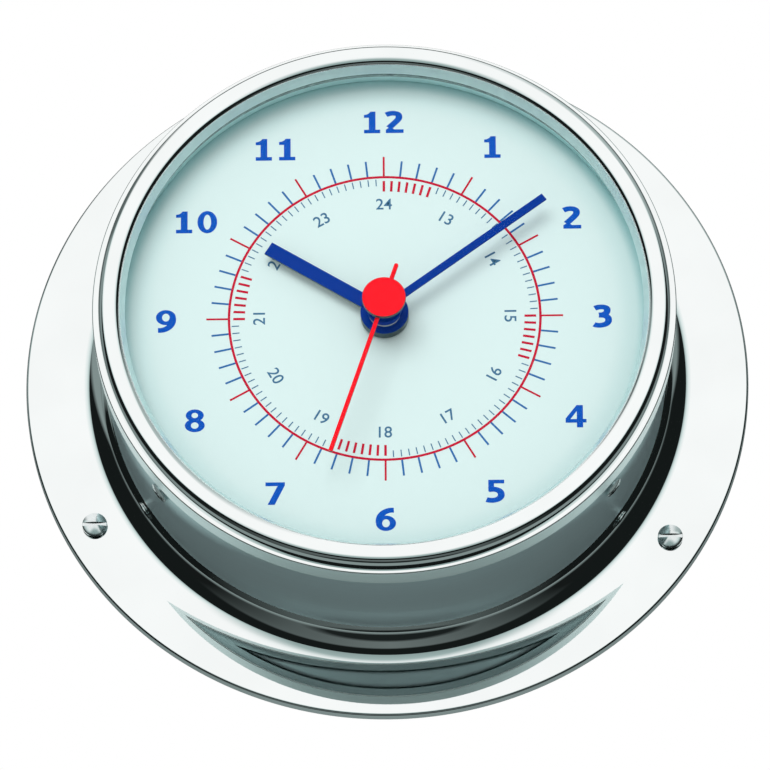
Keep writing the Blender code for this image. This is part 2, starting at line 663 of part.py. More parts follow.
def second_hand(parent):
    tube = cylinder(SECOND_TUBE_RADIUS, SECOND_TUBE_Z, SECOND_BLADE_TOP_Z)
    bar = prism(
        blade(SECOND_HAND_LENGTH, SECOND_HAND_WIDTH, SECOND_HAND_TAIL),
        SECOND_BLADE_TOP_Z - BLADE_THICKNESS,
        SECOND_BLADE_TOP_Z,
    )
    bore = cylinder(SECOND_ARBOR_RADIUS + FIT_GAP, SECOND_TUBE_Z - CAP_HEIGHT, CAP_Z)
    mesh = cut(joined(tube, bar), bore)
    node("second_hand", hand_turned(mesh, SECOND_HAND_ANGLE), RED_LACQUER, parent)


def second_hand_cap(parent):
    edge = CAP_EDGE_ROUND
    profile = [(0.0, CAP_TOP_Z)]
    profile += arc(CAP_RADIUS - edge, CAP_TOP_Z - edge, edge, 90.0, 0.0, 1)
    profile += [(CAP_RADIUS, CAP_Z), (0.0, CAP_Z)]
    node("second_hand_cap", turned(profile, INNER_STEPS // 2), RED_LACQUER, parent)


# Gears


def tooth_outline(teeth, module, share, phase):
    """A gear's outline. A tooth stands at the clockwise angle phase from 12 o'clock."""
    pitch_radius = module * teeth / 2
    root = pitch_radius - DEDENDUM * module
    tip = pitch_radius + ADDENDUM * module
    half = math.pi * share / teeth
    tip_half = half * TOOTH_TIP_SHARE
    points = []
    for index in range(teeth):
        middle = phase + math.tau * index / teeth
        for offset, radius in ((-half, root), (-tip_half, tip), (tip_half, tip), (half, root)):
            angle = middle + offset
            points.append((radius * math.sin(angle), radius * math.cos(angle)))
    return points


def wheel(teeth, module, level, phase=0.0):
    outline = tooth_outline(teeth, module, WHEEL_TOOTH_SHARE, phase)
    return prism(outline, level_z(level), level_z(level) + GEAR_THICKNESS)


def pinion(teeth, module, bottom, top, phase=0.0):
    return prism(tooth_outline(teeth, module, PINION_LEAF_SHARE, phase), bottom, top)


def pinion_at(teeth, module, level, phase=0.0):
    return pinion(teeth, module, level_z(level), level_z(level) + GEAR_THICKNESS, phase)


def meshing_phase(teeth, towards):
    """The phase that puts a gap between two teeth in that direction, for the other's tooth."""
    return towards + math.pi / teeth


def arbor(bottom, top, radius=ARBOR_RADIUS):
    return cylinder(radius, bottom, top, TINY_STEPS)


def hour_wheel(parent):
    phase = meshing_phase(HOUR_WHEEL_TEETH, MOTION_DIRECTION)
    gear = wheel(HOUR_WHEEL_TEETH, HOUR_MODULE, HOUR_LEVEL, phase)
    pipe = cylinder(HOUR_PIPE_RADIUS, level_z(HOUR_LEVEL) + GEAR_THICKNESS / 2, HOUR_DISC_TOP_Z)
    bore = cylinder(HOUR_PIPE_BORE, level_z(CANNON_LEVEL), HOUR_DISC_TOP_Z + HOUR_DISC_HEIGHT)
    node("hour_wheel", cut(joined(gear, pipe), bore), WHEEL_WHITE, parent)


def cannon_pinion(parent):
    leaves = pinion_at(CANNON_TEETH, MOTION_MODULE, CANNON_LEVEL, MOTION_DIRECTION)
    pipe = cylinder(MINUTE_PIPE_RADIUS, level_z(CENTRE_LEVEL), MINUTE_DISC_TOP_Z)
    bore = cylinder(MINUTE_PIPE_BORE, level_z(PLATE_LEVEL), MINUTE_DISC_TOP_Z + MINUTE_DISC_HEIGHT)
    node("cannon_pinion", cut(joined(leaves, pipe), bore), BRASS, parent)


def motion_wheel(parent):
    back = (MOTION_DIRECTION + math.pi) % math.tau
    phase = meshing_phase(MOTION_WHEEL_TEETH, back)
    gear = wheel(MOTION_WHEEL_TEETH, MOTION_MODULE, CANNON_LEVEL, phase)
    leaves = pinion(
        MOTION_PINION_TEETH,
        HOUR_MODULE,
        level_z(CANNON_LEVEL) + GEAR_THICKNESS / 2,
        level_z(HOUR_LEVEL) + GEAR_THICKNESS,
        back,
    )
    stem = arbor(KNOB_FRONT_Z, TRAIN_FRONT_Z - FIT_GAP)
    node("motion_wheel", joined(stem, gear, leaves), WHEEL_WHITE, parent, MOTION_AXIS)


def centre_wheel(parent):
    phase = meshing_phase(CENTRE_WHEEL_TEETH, THIRD_DIRECTION)
    gear = wheel(CENTRE_WHEEL_TEETH, CENTRE_MODULE, CENTRE_LEVEL, phase)
    bore = cylinder(MINUTE_PIPE_RADIUS + RUNNING_GAP, level_z(PLATE_LEVEL), level_z(CANNON_LEVEL))
    node("centre_wheel", cut(gear, bore), BRASS, parent)


def third_wheel(parent):
    back = (THIRD_DIRECTION + math.pi) % math.tau
    phase = meshing_phase(THIRD_WHEEL_TEETH, back)
    gear = wheel(THIRD_WHEEL_TEETH, THIRD_WHEEL_MODULE, THIRD_LEVEL, phase)
    leaves = pinion(
        THIRD_PINION_TEETH,
        CENTRE_MODULE,
        level_z(THIRD_LEVEL) + GEAR_THICKNESS / 2,
        level_z(CENTRE_LEVEL) + GEAR_THICKNESS,
        back,
    )
    stem = arbor(COVER_INNER_Z + FIT_GAP, TRAIN_FRONT_Z - FIT_GAP)
    node("third_wheel", joined(stem, gear, leaves), WHEEL_WHITE, parent, THIRD_AXIS)


def seconds_wheel(parent):
    phase = meshing_phase(SECONDS_WHEEL_TEETH, INTERMEDIATE_DIRECTION)
    gear = wheel(SECONDS_WHEEL_TEETH, SECONDS_WHEEL_MODULE, SECONDS_LEVEL, phase)
    leaves = pinion(
        SECONDS_PINION_TEETH,
        THIRD_WHEEL_MODULE,
        level_z(SECONDS_LEVEL) + GEAR_THICKNESS / 2,
        level_z(THIRD_LEVEL) + GEAR_THICKNESS,
        THIRD_DIRECTION,
    )
    stem = arbor(COVER_INNER_Z + FIT_GAP, SECOND_BLADE_TOP_Z, SECOND_ARBOR_RADIUS)
    node("seconds_wheel", joined(stem, gear, leaves), WHEEL_WHITE, parent)


def intermediate_wheel(parent):
    back = (INTERMEDIATE_DIRECTION + math.pi) % math.tau
    phase = meshing_phase(INTERMEDIATE_WHEEL_TEETH, ROTOR_DIRECTION)
    gear = wheel(INTERMEDIATE_WHEEL_TEETH, ROTOR_MODULE, INTERMEDIATE_LEVEL, phase)
    leaves = pinion(
        INTERMEDIATE_PINION_TEETH,
        SECONDS_WHEEL_MODULE,
        level_z(INTERMEDIATE_LEVEL) + GEAR_THICKNESS / 2,
        level_z(SECONDS_LEVEL) + GEAR_THICKNESS,
        back,
    )
    stem = arbor(COVER_INNER_Z + FIT_GAP, level_z(PLATE_LEVEL) - FIT_GAP)
    node("intermediate_wheel", joined(stem, gear, leaves), WHEEL_WHITE, parent, INTERMEDIATE_AXIS)


def rotor(parent):
    back = (ROTOR_DIRECTION + math.pi) % math.tau
    leaves = pinion_at(ROTOR_PINION_TEETH, ROTOR_MODULE, INTERMEDIATE_LEVEL, back)
    middle = STATOR_Z + STATOR_THICKNESS / 2
    magnet = cylinder(MAGNET_RADIUS, middle - MAGNET_HEIGHT / 2, middle + MAGNET_HEIGHT / 2)
    stem = arbor(COVER_INNER_Z + FIT_GAP, level_z(PLATE_LEVEL) - FIT_GAP)
    node("rotor", joined(stem, leaves, magnet), NICKEL, parent, ROTOR_AXIS)


# Movement case and what stands still inside it


def movement_housing(parent):
    inner_width = MOVEMENT_HALF_WIDTH - MOVEMENT_WALL
    outline = rounded_rectangle(
        -MOVEMENT_HALF_WIDTH, MOVEMENT_HALF_WIDTH, MOVEMENT_BOTTOM, MOVEMENT_TOP, MOVEMENT_CORNER
    )
    block = prism(outline, MOVEMENT_BACK_Z, MOVEMENT_FRONT_Z)
    train = prism(
        rectangle(-inner_width, inner_width, PARTITION_Y, MOVEMENT_TOP - MOVEMENT_WALL),
        MOVEMENT_BACK_Z - COVER_THICKNESS,
        TRAIN_FRONT_Z,
    )
    bay = prism(
        rectangle(-inner_width, inner_width, MOVEMENT_BOTTOM + MOVEMENT_WALL, PARTITION_Y - PARTITION_WALL),
        MOVEMENT_BACK_Z - COVER_THICKNESS,
        TRAIN_FRONT_Z,
    )
    nose = cylinder(NOSE_RADIUS, TRAIN_FRONT_Z + MOVEMENT_FRONT_WALL / 2, CARRIER_FRONT_Z)
    bore = cylinder(NOSE_BORE, level_z(HOUR_LEVEL), DIAL_FACE_Z)
    mesh = cut(joined(cut(block, train, bay), nose), bore)
    node("movement_housing", mesh, MOVEMENT_BLACK, parent)


def movement_cover(parent):
    inner_width = MOVEMENT_HALF_WIDTH - MOVEMENT_WALL - FIT_GAP
    high = MOVEMENT_TOP - MOVEMENT_WALL - FIT_GAP
    outline = rectangle(-inner_width, inner_width, PARTITION_Y + FIT_GAP, high)
    stem_hole = circle(ARBOR_RADIUS + RUNNING_GAP, TINY_STEPS, MOTION_AXIS)
    mesh = prism(outline, MOVEMENT_BACK_Z, COVER_INNER_Z, [stem_hole])
    node("movement_cover", mesh, MOVEMENT_BLACK, parent)


def train_plate(parent):
    """The plate between the running train and the hands' train. It carries the front pivots."""
    inner_width = MOVEMENT_HALF_WIDTH - MOVEMENT_WALL - FIT_GAP
    coil_side = COIL_Y - COIL_RADIUS - RUNNING_GAP
    outline = rectangle(-inner_width, inner_width, PARTITION_Y + FIT_GAP, coil_side)
    pinion_room = CENTRE_MODULE * (THIRD_PINION_TEETH / 2 + ADDENDUM) + RUNNING_GAP
    holes = [
        circle(SECOND_ARBOR_RADIUS + RUNNING_GAP, TINY_STEPS),
        circle(pinion_room, TINY_STEPS, THIRD_AXIS),
        circle(ARBOR_RADIUS + RUNNING_GAP, TINY_STEPS, MOTION_AXIS),
    ]
    mesh = prism(outline, level_z(PLATE_LEVEL), level_z(PLATE_LEVEL) + GEAR_THICKNESS, holes)
    node("train_plate", mesh, BRASS, parent)


def setting_knob(parent):
    points = []
    for index in range(2 * KNOB_RIDGES):
        angle = math.tau * index / (2 * KNOB_RIDGES)
        radius = KNOB_RADIUS if index % 2 else KNOB_RADIUS - KNOB_RIDGE_HEIGHT
        points.append((radius * math.sin(angle), radius * math.cos(angle)))
    grip = prism(points, KNOB_BACK_Z, KNOB_FRONT_Z - FIT_GAP)
    hollow = cylinder(KNOB_HOLLOW_RADIUS, KNOB_BACK_Z - KNOB_THICKNESS, KNOB_BACK_Z + KNOB_HOLLOW_DEPTH)
    node("setting_knob", cut(grip, hollow), WHEEL_WHITE, parent, MOTION_AXIS)


def movement_nut(parent):
    corner = NUT_ACROSS_FLATS / 2 / math.cos(math.pi / 6)
    bore = circle(NOSE_RADIUS + FIT_GAP, SMALL_STEPS)
    mesh = prism(circle(corner, 6), NUT_Z, NUT_Z + NUT_THICKNESS, [bore])
    node("movement_nut", mesh, BRASS, parent)


def movement_washer(parent):
    mesh = ring(WASHER_RADIUS, NOSE_RADIUS + FIT_GAP, WASHER_Z, WASHER_Z + WASHER_THICKNESS, SMALL_STEPS)
    node("movement_washer", mesh, BRASS, parent)


def battery_cell(parent):
    """The cell lies along x; its nub points to the right as the dial is read."""
    half = CELL_LENGTH / 2
    edge = CELL_EDGE_ROUND
    shoulder = half - CELL_NUB_LENGTH
    profile = [(0.0, half), (CELL_NUB_RADIUS, half), (CELL_NUB_RADIUS, shoulder)]
    profile += arc(CELL_RADIUS - edge, shoulder - edge, edge, 90.0, 0.0, 1)
    profile += arc(CELL_RADIUS - edge, edge - half, edge, 0.0, -90.0, 1)
    profile += [(0.0, -half)]
    mesh = moved(turned(profile, INNER_STEPS // 2), Matrix.Rotation(math.pi / 2, 3, "Y"))
    node("battery_cell", mesh, CELL_GREEN, parent, Vector((0.0, CELL_Y, CELL_Z)))


def battery_contacts(parent):
    """A flat leaf stands between each end of the cell and the wall of its bay."""
    for name, side in (("battery_contact_positive", 1.0), ("battery_contact_negative", -1.0)):
        near = side * (CELL_LENGTH / 2 + FIT_GAP)
        far = near + side * CONTACT_THICKNESS
        low = CELL_Y - CONTACT_WIDTH / 2
        outline = rectangle(min(near, far), max(near, far), low, low + CONTACT_WIDTH)
        mesh = prism(outline, CELL_Z - CELL_RADIUS, CELL_Z + CELL_RADIUS)
        node(name, mesh, NICKEL, parent)


def stator(parent):
    """A flat yoke: a bar round the rotor and two legs up to the coil's core."""
    low = ROTOR_AXIS.y - MAGNET_RADIUS - STATOR_BAR_MARGIN
    high = ROTOR_AXIS.y + MAGNET_RADIUS + STATOR_BAR_MARGIN
    left = ROTOR_AXIS.x - STATOR_HALF_LENGTH
    right = ROTOR_AXIS.x + STATOR_HALF_LENGTH
    outline = [
        (left, low),
        (right, low),
        (right, COIL_Y),
        (right - STATOR_LEG_WIDTH, COIL_Y),
        (right - STATOR_LEG_WIDTH, high),
        (left + STATOR_LEG_WIDTH, high),
        (left + STATOR_LEG_WIDTH, COIL_Y),
        (left, COIL_Y),
    ]
    hole = circle(MAGNET_RADIUS + RUNNING_GAP, SMALL_STEPS, ROTOR_AXIS)
    mesh = prism(outline, STATOR_Z, STATOR_Z + STATOR_THICKNESS, [hole])
    node("stator", mesh, NICKEL, parent)


def coil_half_length():
    return STATOR_HALF_LENGTH - STATOR_LEG_WIDTH - FIT_GAP


def coil_bobbin(parent):
    """A spool between the stator's legs, with a flange at each end."""
    half = coil_half_length()
    core = COIL_CORE_RADIUS
    profile = [
        (0.0, half),
        (COIL_RADIUS, half),
        (COIL_RADIUS, half - COIL_FLANGE),
        (core, half - COIL_FLANGE),
        (core, COIL_FLANGE - half),
        (COIL_RADIUS, COIL_FLANGE - half),
        (COIL_RADIUS, -half),
        (0.0, -half),
    ]
    mesh = moved(turned(profile, SMALL_STEPS), Matrix.Rotation(math.pi / 2, 3, "Y"))
    node("coil_bobbin", mesh, WHEEL_WHITE, parent, coil_centre())


def coil_winding(parent):
    half = coil_half_length() - COIL_FLANGE - FIT_GAP
    core = COIL_CORE_RADIUS + FIT_GAP
    wire = ring(COIL_WIRE_RADIUS, core, -half, half, SMALL_STEPS)
    mesh = moved(wire, Matrix.Rotation(math.pi / 2, 3, "Y"))
    node("coil_winding", mesh, COPPER, parent, coil_centre())


def coil_centre():
    return Vector((ROTOR_AXIS.x, COIL_Y, STATOR_Z + STATOR_THICKNESS / 2))


def circuit_board(parent):
    right = ROTOR_AXIS.x - STATOR_HALF_LENGTH - FIT_GAP
    high = MOVEMENT_TOP - MOVEMENT_WALL - FIT_GAP
    outline = rectangle(right - BOARD_LENGTH, right, high - BOARD_WIDTH, high)
    mesh = prism(outline, STATOR_Z, STATOR_Z + BOARD_THICKNESS)
    node("circuit_board", mesh, BOARD_BROWN, parent)


def crystal_can(parent):
    right = ROTOR_AXIS.x - STATOR_HALF_LENGTH - FIT_GAP
    mesh = cylinder(CRYSTAL_RADIUS, -CRYSTAL_LENGTH / 2, CRYSTAL_LENGTH / 2, TINY_STEPS)
    moved(mesh, Matrix.Rotation(math.pi / 2, 3, "Y"))
    at = Vector(
        (
            right - BOARD_LENGTH / 2,
            MOVEMENT_TOP - MOVEMENT_WALL - BOARD_WIDTH / 2,
            STATOR_Z - FIT_GAP - CRYSTAL_RADIUS,
        )
    )
    node("crystal_can", mesh, NICKEL, parent, at)


def build():
    clear_scene()
    wall_plane = bpy.data.objects.new("wall_plane", None)
    bpy.context.scene.collection.objects.link(wall_plane)
    wall_plane.rotation_euler = (math.pi / 2, 0.0, 0.0)
    makers = (
        case_body,
        bezel_ring,
        glass_lens,
        glass_seal,
        dial_spacer_ring,
        dial_plate,
        dial_carrier,
        flange_screws,
        side_screws,
        hour_hand,
        minute_hand,
        second_hand,
        second_hand_cap,
        hour_wheel,
        cannon_pinion,
        motion_wheel,
        centre_wheel,
        third_wheel,
        seconds_wheel,
        intermediate_wheel,
        rotor,
        movement_housing,
        movement_cover,
        train_plate,
        setting_knob,
        movement_nut,
        movement_washer,
        battery_cell,
        battery_contacts,
        stator,
        coil_bobbin,
        coil_winding,
        circuit_board,
        crystal_can,
    )
    for maker in makers:
        maker(wall_plane)
    bpy.context.view_layer.update()


build()
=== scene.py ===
"""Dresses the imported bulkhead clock: spun steel, domed glass, printed dial, hands and movement.

The CAD directions of the world are kept: the dial faces -Y, 12 o'clock is +Z and the wall is
the plane Y = 0. Turned and printed pieces are drawn in the clock's own directions, x to the
right and y up as the dial is read and z out of the wall, and then turned to the world.
"""

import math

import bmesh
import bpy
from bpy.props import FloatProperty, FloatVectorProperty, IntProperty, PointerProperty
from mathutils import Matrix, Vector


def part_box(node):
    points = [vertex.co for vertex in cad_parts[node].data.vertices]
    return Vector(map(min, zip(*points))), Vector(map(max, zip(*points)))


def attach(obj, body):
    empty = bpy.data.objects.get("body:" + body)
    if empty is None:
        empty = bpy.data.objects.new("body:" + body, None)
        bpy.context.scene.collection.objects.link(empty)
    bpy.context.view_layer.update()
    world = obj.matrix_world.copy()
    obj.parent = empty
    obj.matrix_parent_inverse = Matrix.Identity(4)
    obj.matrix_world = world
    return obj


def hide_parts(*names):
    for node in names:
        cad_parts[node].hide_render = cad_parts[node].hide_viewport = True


bl_info = {
    "name": "Bulkhead Clock Dressing",
    "version": (1, 0, 0),
    "blender": (4, 5, 0),
    "location": "View3D > Sidebar > Clock",
    "description": "Makes the finished surfaces of a bulkhead clock around its packed solids",
    "category": "Object",
}

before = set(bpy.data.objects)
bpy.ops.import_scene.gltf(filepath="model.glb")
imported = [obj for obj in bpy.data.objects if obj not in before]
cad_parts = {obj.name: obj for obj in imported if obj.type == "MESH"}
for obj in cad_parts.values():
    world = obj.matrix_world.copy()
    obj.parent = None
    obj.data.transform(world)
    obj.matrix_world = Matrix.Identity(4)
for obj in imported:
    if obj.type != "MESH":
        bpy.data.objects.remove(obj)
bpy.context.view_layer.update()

MM = 0.001
WALL_TURN = Matrix.Rotation(math.radians(90.0), 4, "X")
ON_AXIS = 0.0001 * MM
WELD = 0.002 * MM
# Flat sides of discs and of tubes and screw heads
DISC_STEPS = 96
TUBE_STEPS = 64
# Degrees from which a corner counts as sharp, and as sharp beside a rounded edge
SHARP = 35.0
SHARP_WHEN_ROUNDED = 60.0


def front_z(node):
    """How far a CAD node reaches out of the wall."""
    return -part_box(node)[0].y


def back_z(node):
    """How near a CAD node comes to the wall."""
    return -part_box(node)[1].y


def heights(node):
    """A CAD node's back and front as heights over the wall."""
    return back_z(node), front_z(node)


def reach(node):
    """A round CAD node's outer radius."""
    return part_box(node)[1].x


# Settings


def length(name, description, default):
    return FloatProperty(name=name, description=description, default=default, precision=5, unit="LENGTH")


def angle(name, description, degrees):
    return FloatProperty(name=name, description=description, default=math.radians(degrees), subtype="ANGLE")


def share(name, description, default):
    return FloatProperty(name=name, description=description, default=default, min=0.0, soft_max=1.0)


def number(name, description, default):
    return IntProperty(name=name, description=description, default=default, min=1)


def colour(name, description, default):
    return FloatVectorProperty(
        name=name, description=description, default=default, size=3, min=0.0, max=1.0, subtype="COLOR"
    )


class CaseSizes(bpy.types.PropertyGroup):
    flange_radius: length("Flange radius", "Outer radius of the flange", reach("case_body"))
    flange_height: length("Flange height", "Rise of the flange's top over the wall", 1.7 * MM)
    flange_slope: angle("Flange slope", "Fall of the flange's top towards its rim", 1.3)
    foot_slope: angle("Foot slope", "Tilt where the foot's curve runs out into a flatter one", 8.0)
    foot_sweep: length("Foot sweep", "Radius of the flatter curve between foot and flange", 23.6 * MM)
    level_radius: length("Level radius", "Radius where the sloping flange has its height", 54.75 * MM)
    edge_round: length("Edge round", "Rounding of the flange's outer edge", 0.5 * MM)
    sheet: length("Sheet", "Thickness of the spun sheet", 0.8 * MM)
    drum_radius: length("Drum radius", "Outer radius of the drum", 45.9 * MM)
    drum_front: length("Drum front", "Height of the drum's front edge", front_z("case_body"))
    drum_flare: length("Drum flare", "How much the drum widens from its front edge to its foot", 0.4 * MM)
    foot_fillet: length("Foot fillet", "Radius of the curve from the drum into the flange", 5.4 * MM)
    side_finish: length("Side finish", "Height over the flange where the drum's satin side begins", 4.5 * MM)
    steps: number("Steps", "Flat sides of a turned piece", 256)


class BezelSizes(bpy.types.PropertyGroup):
    bead_centre: length("Bead centre", "Radius of the circle through the bead's middle", 44.43 * MM)
    bead_radius: length("Bead radius", "Half the bead's width, and its height", 2.2 * MM)
    bead_top: length("Bead top", "Radius where the bead's outer curve begins", 44.9 * MM)
    bead_squareness: FloatProperty(
        name="Bead squareness", description="2 is round, more is fuller", default=3.0, min=2.0
    )
    bead_lean: angle("Bead lean", "Tilt of the bead's inner slope from the dial", 62.0)
    outer_radius: length("Outer radius", "Radius of the skirt's lower edge", reach("bezel_ring"))
    skirt_height: length("Skirt height", "Height of the skirt below the shoulder", 4.0 * MM)
    skirt_draft: length("Skirt draft", "How far the skirt's foot lies inside its front edge", 0.05 * MM)
    corner: length("Corner", "Rounding of the skirt's two edges", 0.2 * MM)
    web: length("Web", "Thickness of the shoulder over the drum's edge", 0.4 * MM)
    collar_depth: length("Collar depth", "Depth of the collar inside the drum", 2.6 * MM)
    collar_wall: length("Collar wall", "Thickness of the collar", 0.6 * MM)
    clearance: length("Clearance", "Gap between pieces that seat on each other", 0.25 * MM)


class GlassSizes(bpy.types.PropertyGroup):
    thickness: length("Thickness", "Thickness of the glass", 1.4 * MM)
    rim_width: length("Rim width", "Width of the flat rim around the dome", 1.8 * MM)
    seal_width: length("Seal width", "Width of the seal under the rim", 1.2 * MM)
    spacer_width: length("Spacer width", "Width of the ring between the seal and the dial", 1.0 * MM)


class DialSizes(bpy.types.PropertyGroup):
    bore: length("Bore", "Radius of the hole for the movement's nose", 3.15 * MM)
    print_height: length("Print height", "Thickness of the printed ink", 0.03 * MM)
    ring_radius: length("Ring radius", "Middle of the printed ring", 25.4 * MM)
    ring_width: length("Ring width", "Width of the printed ring", 0.4 * MM)
    hour_tick_end: length("Hour tick end", "Outer end of the hour ticks", 29.1 * MM)
    minute_tick_end: length("Minute tick end", "Outer end of the minute ticks", 28.4 * MM)
    tick_width: length("Tick width", "Width of the hour and minute ticks", 0.32 * MM)
    fine_tick_start: length("Fine tick start", "Outer end of the fine ticks", 25.0 * MM)
    fine_tick_end: length("Fine tick end", "Inner end of the fine ticks", 23.8 * MM)
    fine_tick_width: length("Fine tick width", "Width of the fine ticks", 0.17 * MM)
    zone_tick_start: length("Zone tick start", "Outer end of the thick inner ticks", 24.7 * MM)
    zone_tick_end: length("Zone tick end", "Inner end of the thick inner ticks", 22.8 * MM)
    zone_tick_width: length("Zone tick width", "Width of the thick inner ticks", 0.4 * MM)
    hour_circle: length("Hour circle", "Radius of the circle through the hour numerals", 35.7 * MM)
    hour_drop: length("Hour drop", "How far the hour numerals sit under their places on the circle", 0.25 * MM)
    hour_size: length("Hour size", "Height of the hour numerals", 3.95 * MM)
    hour_stretch: share("Hour stretch", "Width of the hour numerals against their height", 1.3)
    day_circle: length("Day circle", "Radius of the circle through the numerals 13 to 24", 20.5 * MM)
    day_size: length("Day size", "Type size of the numerals 13 to 24", 2.75 * MM)
    day_weight: share("Day weight", "Boldness of the numerals 13 to 24 as a share of their size", 0.008)


class HandSizes(bpy.types.PropertyGroup):
    hour_length: length("Hour length", "From the middle to the hour hand's tip", 22.3 * MM)
    hour_width: length("Hour width", "Width of the hour hand", 2.36 * MM)
    hour_disc: length("Hour disc", "Radius of the hour hand's disc", 3.93 * MM)
    hour_angle: angle("Hour angle", "Clockwise from 12", 301.85)
    minute_length: length("Minute length", "From the middle to the minute hand's tip", 32.8 * MM)
    minute_width: length("Minute width", "Width of the minute hand", 1.3 * MM)
    minute_disc: length("Minute disc", "Radius of the minute hand's disc", 2.8 * MM)
    minute_angle: angle("Minute angle", "Clockwise from 12", 53.2)
    second_length: length("Second length", "From the middle to the second hand's tip", 28.2 * MM)
    second_tail: length("Second tail", "From the middle to the second hand's tail", 6.8 * MM)
    second_width: length("Second width", "Width of the second hand", 0.7 * MM)
    second_angle: angle("Second angle", "Clockwise from 12", 198.2)
    second_tube: length("Second tube", "Radius of the second hand's tube", 1.3 * MM)
    blade: length("Blade", "Thickness of a blade", 0.4 * MM)
    edge: length("Edge", "Rounding of a hand's edges", 0.06 * MM)
    hour_bore: length("Hour bore", "Radius of the hour hand's hole", 2.6 * MM)
    minute_bore: length("Minute bore", "Radius of the minute hand's hole", 1.9 * MM)


class ScrewSizes(bpy.types.PropertyGroup):
    flange_circle: length("Flange circle", "Radius of the circle through the flange screws", 54.75 * MM)
    flange_turn: angle("Flange turn", "Clockwise place of the first flange screw", 2.0)
    flange_head: length("Flange head", "Head radius of a flange screw", 2.05 * MM)
    flange_head_height: length("Flange head height", "Head height of a flange screw", 0.9 * MM)
    flange_shank: length("Flange shank", "Radius over the flange screw's thread", 1.5 * MM)
    flange_length: length("Flange length", "Length of a flange screw under its head", 14.0 * MM)
    side_angle: angle("Side angle", "Clockwise place of the second side screw", 127.0)
    side_head: length("Side head", "Head radius of a side screw", 1.75 * MM)
    side_head_height: length("Side head height", "Head height of a side screw", 0.6 * MM)
    side_shank: length("Side shank", "Radius over the side screw's thread", 1.1 * MM)
    side_length: length("Side length", "Length of a side screw under its head", 4.6 * MM)
    slot_width: length("Slot width", "Width of a screw's slot", 0.6 * MM)
    slot_depth: length("Slot depth", "Depth of a screw's slot", 0.4 * MM)
    pitch: length("Pitch", "Rise of a screw's thread in one turn", 0.9 * MM)
    thread_depth: length("Thread depth", "Depth of a screw's thread", 0.3 * MM)


class MovementSizes(bpy.types.PropertyGroup):
    moulded_edge: length("Moulded edge", "Rounding of the moulded pieces' edges", 0.25 * MM)
    stamped_edge: length("Stamped edge", "Rounding of the stamped pieces' edges", 0.08 * MM)
    knob_radius: length("Knob radius", "Radius over the setting knob's ridges", 5.5 * MM)
    knob_ridge: length("Knob ridge", "Height of the setting knob's ridges", 0.4 * MM)
    knob_ridges: number("Knob ridges", "Number of ridges round the setting knob", 18)
    knob_hollow: length("Knob hollow", "Radius of the hollow in the setting knob", 3.3 * MM)
    knob_hollow_depth: length("Knob hollow depth", "Depth of the hollow in the setting knob", 1.0 * MM)
    cell_nub: length("Cell nub", "Radius of the cell's nub", 2.7 * MM)
    cell_nub_length: length("Cell nub length", "Length of the cell's nub", 1.3 * MM)
    cell_edge: length("Cell edge", "Rounding of the cell's ends", 0.6 * MM)


class Finishes(bpy.types.PropertyGroup):
    steel: colour("Steel", "Polished steel of the case", (0.86, 0.885, 0.88))
    drum_steel: colour("Drum steel", "Finely spun steel of the drum's side", (0.61, 0.82, 0.84))
    screw_steel: colour("Screw steel", "Turned steel of the screws", (0.74, 0.78, 0.78))
    glass: colour("Glass", "Domed glass", (0.95, 1.0, 0.99))
    skirt: colour("Skirt", "Satin side of the bezel", (0.72, 0.88, 0.87))
    spacer: colour("Spacer", "Blasted steel of the ring under the glass", (0.78, 0.98, 0.98))
    ground_edge: colour("Ground edge", "Matt edge of the glass", (0.52, 0.70, 0.70))
    rubber: colour("Rubber", "Seal of the glass", (0.22, 0.29, 0.29))
    dial: colour("Dial", "Enamel of the dial", (0.69, 0.735, 0.745))
    # Painted shade: towards its rim the dial's enamel darkens to this colour, which stands for the shade under the
    # bezel.
    dial_rim: colour("Dial rim", "Enamel of the dial's outer edge", (0.33, 0.56, 0.58))
    blue_ink: colour("Blue ink", "Numerals and minute ticks", (0.004, 0.078, 0.45))
    tick_ink: colour("Tick ink", "Blue of the minute ticks", (0.03, 0.13, 0.36))
    red_ink: colour("Red ink", "Ring, hour ticks and thick ticks", (0.56, 0.008, 0.035))
    grey_ink: colour("Grey ink", "Fine ticks and the numerals 13 to 24", (0.06, 0.15, 0.27))
    navy: colour("Navy", "Lacquer of the hour and minute hands", (0.0, 0.030, 0.26))
    red: colour("Red", "Lacquer of the second hand", (0.95, 0.006, 0.016))
    cut_metal: colour("Cut metal", "Bare edges of the hands", (0.05, 0.085, 0.095))
    black_plastic: colour("Black plastic", "Case of the movement", (0.025, 0.025, 0.028))
    grey_plastic: colour("Grey plastic", "Carrier of the dial", (0.35, 0.37, 0.38))
    white_plastic: colour("White plastic", "Wheels, bobbin and knob", (0.82, 0.80, 0.74))
    brass: colour("Brass", "Plate, nut, washer and brass wheels", (0.78, 0.57, 0.25))
    copper: colour("Copper", "Winding of the coil", (0.72, 0.33, 0.16))
    nickel: colour("Nickel", "Contacts, yoke, rotor and crystal can", (0.62, 0.60, 0.56))
    jacket: colour("Jacket", "Film round the cell", (0.10, 0.30, 0.22))
    board: colour("Board", "Circuit board", (0.24, 0.16, 0.06))


class StudioSettings(bpy.types.PropertyGroup):
    lens: FloatProperty(name="Lens", description="Focal length in mm on a 36 mm sensor", default=374.03)
    distance: length("Distance", "From the camera to the point it looks at", 1.3306)
    elevation: angle("Elevation", "Height of the camera over the clock's middle", -24.51)
    azimuth: angle("Azimuth", "Turn of the camera to the right", 0.78)
    roll: angle("Roll", "Lean of the camera", -0.365)
    aim: FloatVectorProperty(
        name="Aim", description="The point that the camera looks at", default=(-0.00038, 0.0, 0.0), size=3,
        unit="LENGTH", precision=5
    )
    fill: share("Fill", "Light of the room on matt surfaces", 0.75)
    key_power: FloatProperty(name="Key power", description="Power of the soft lamp in watts", default=15.0, min=0.0)


# Shapes in the clock's own directions


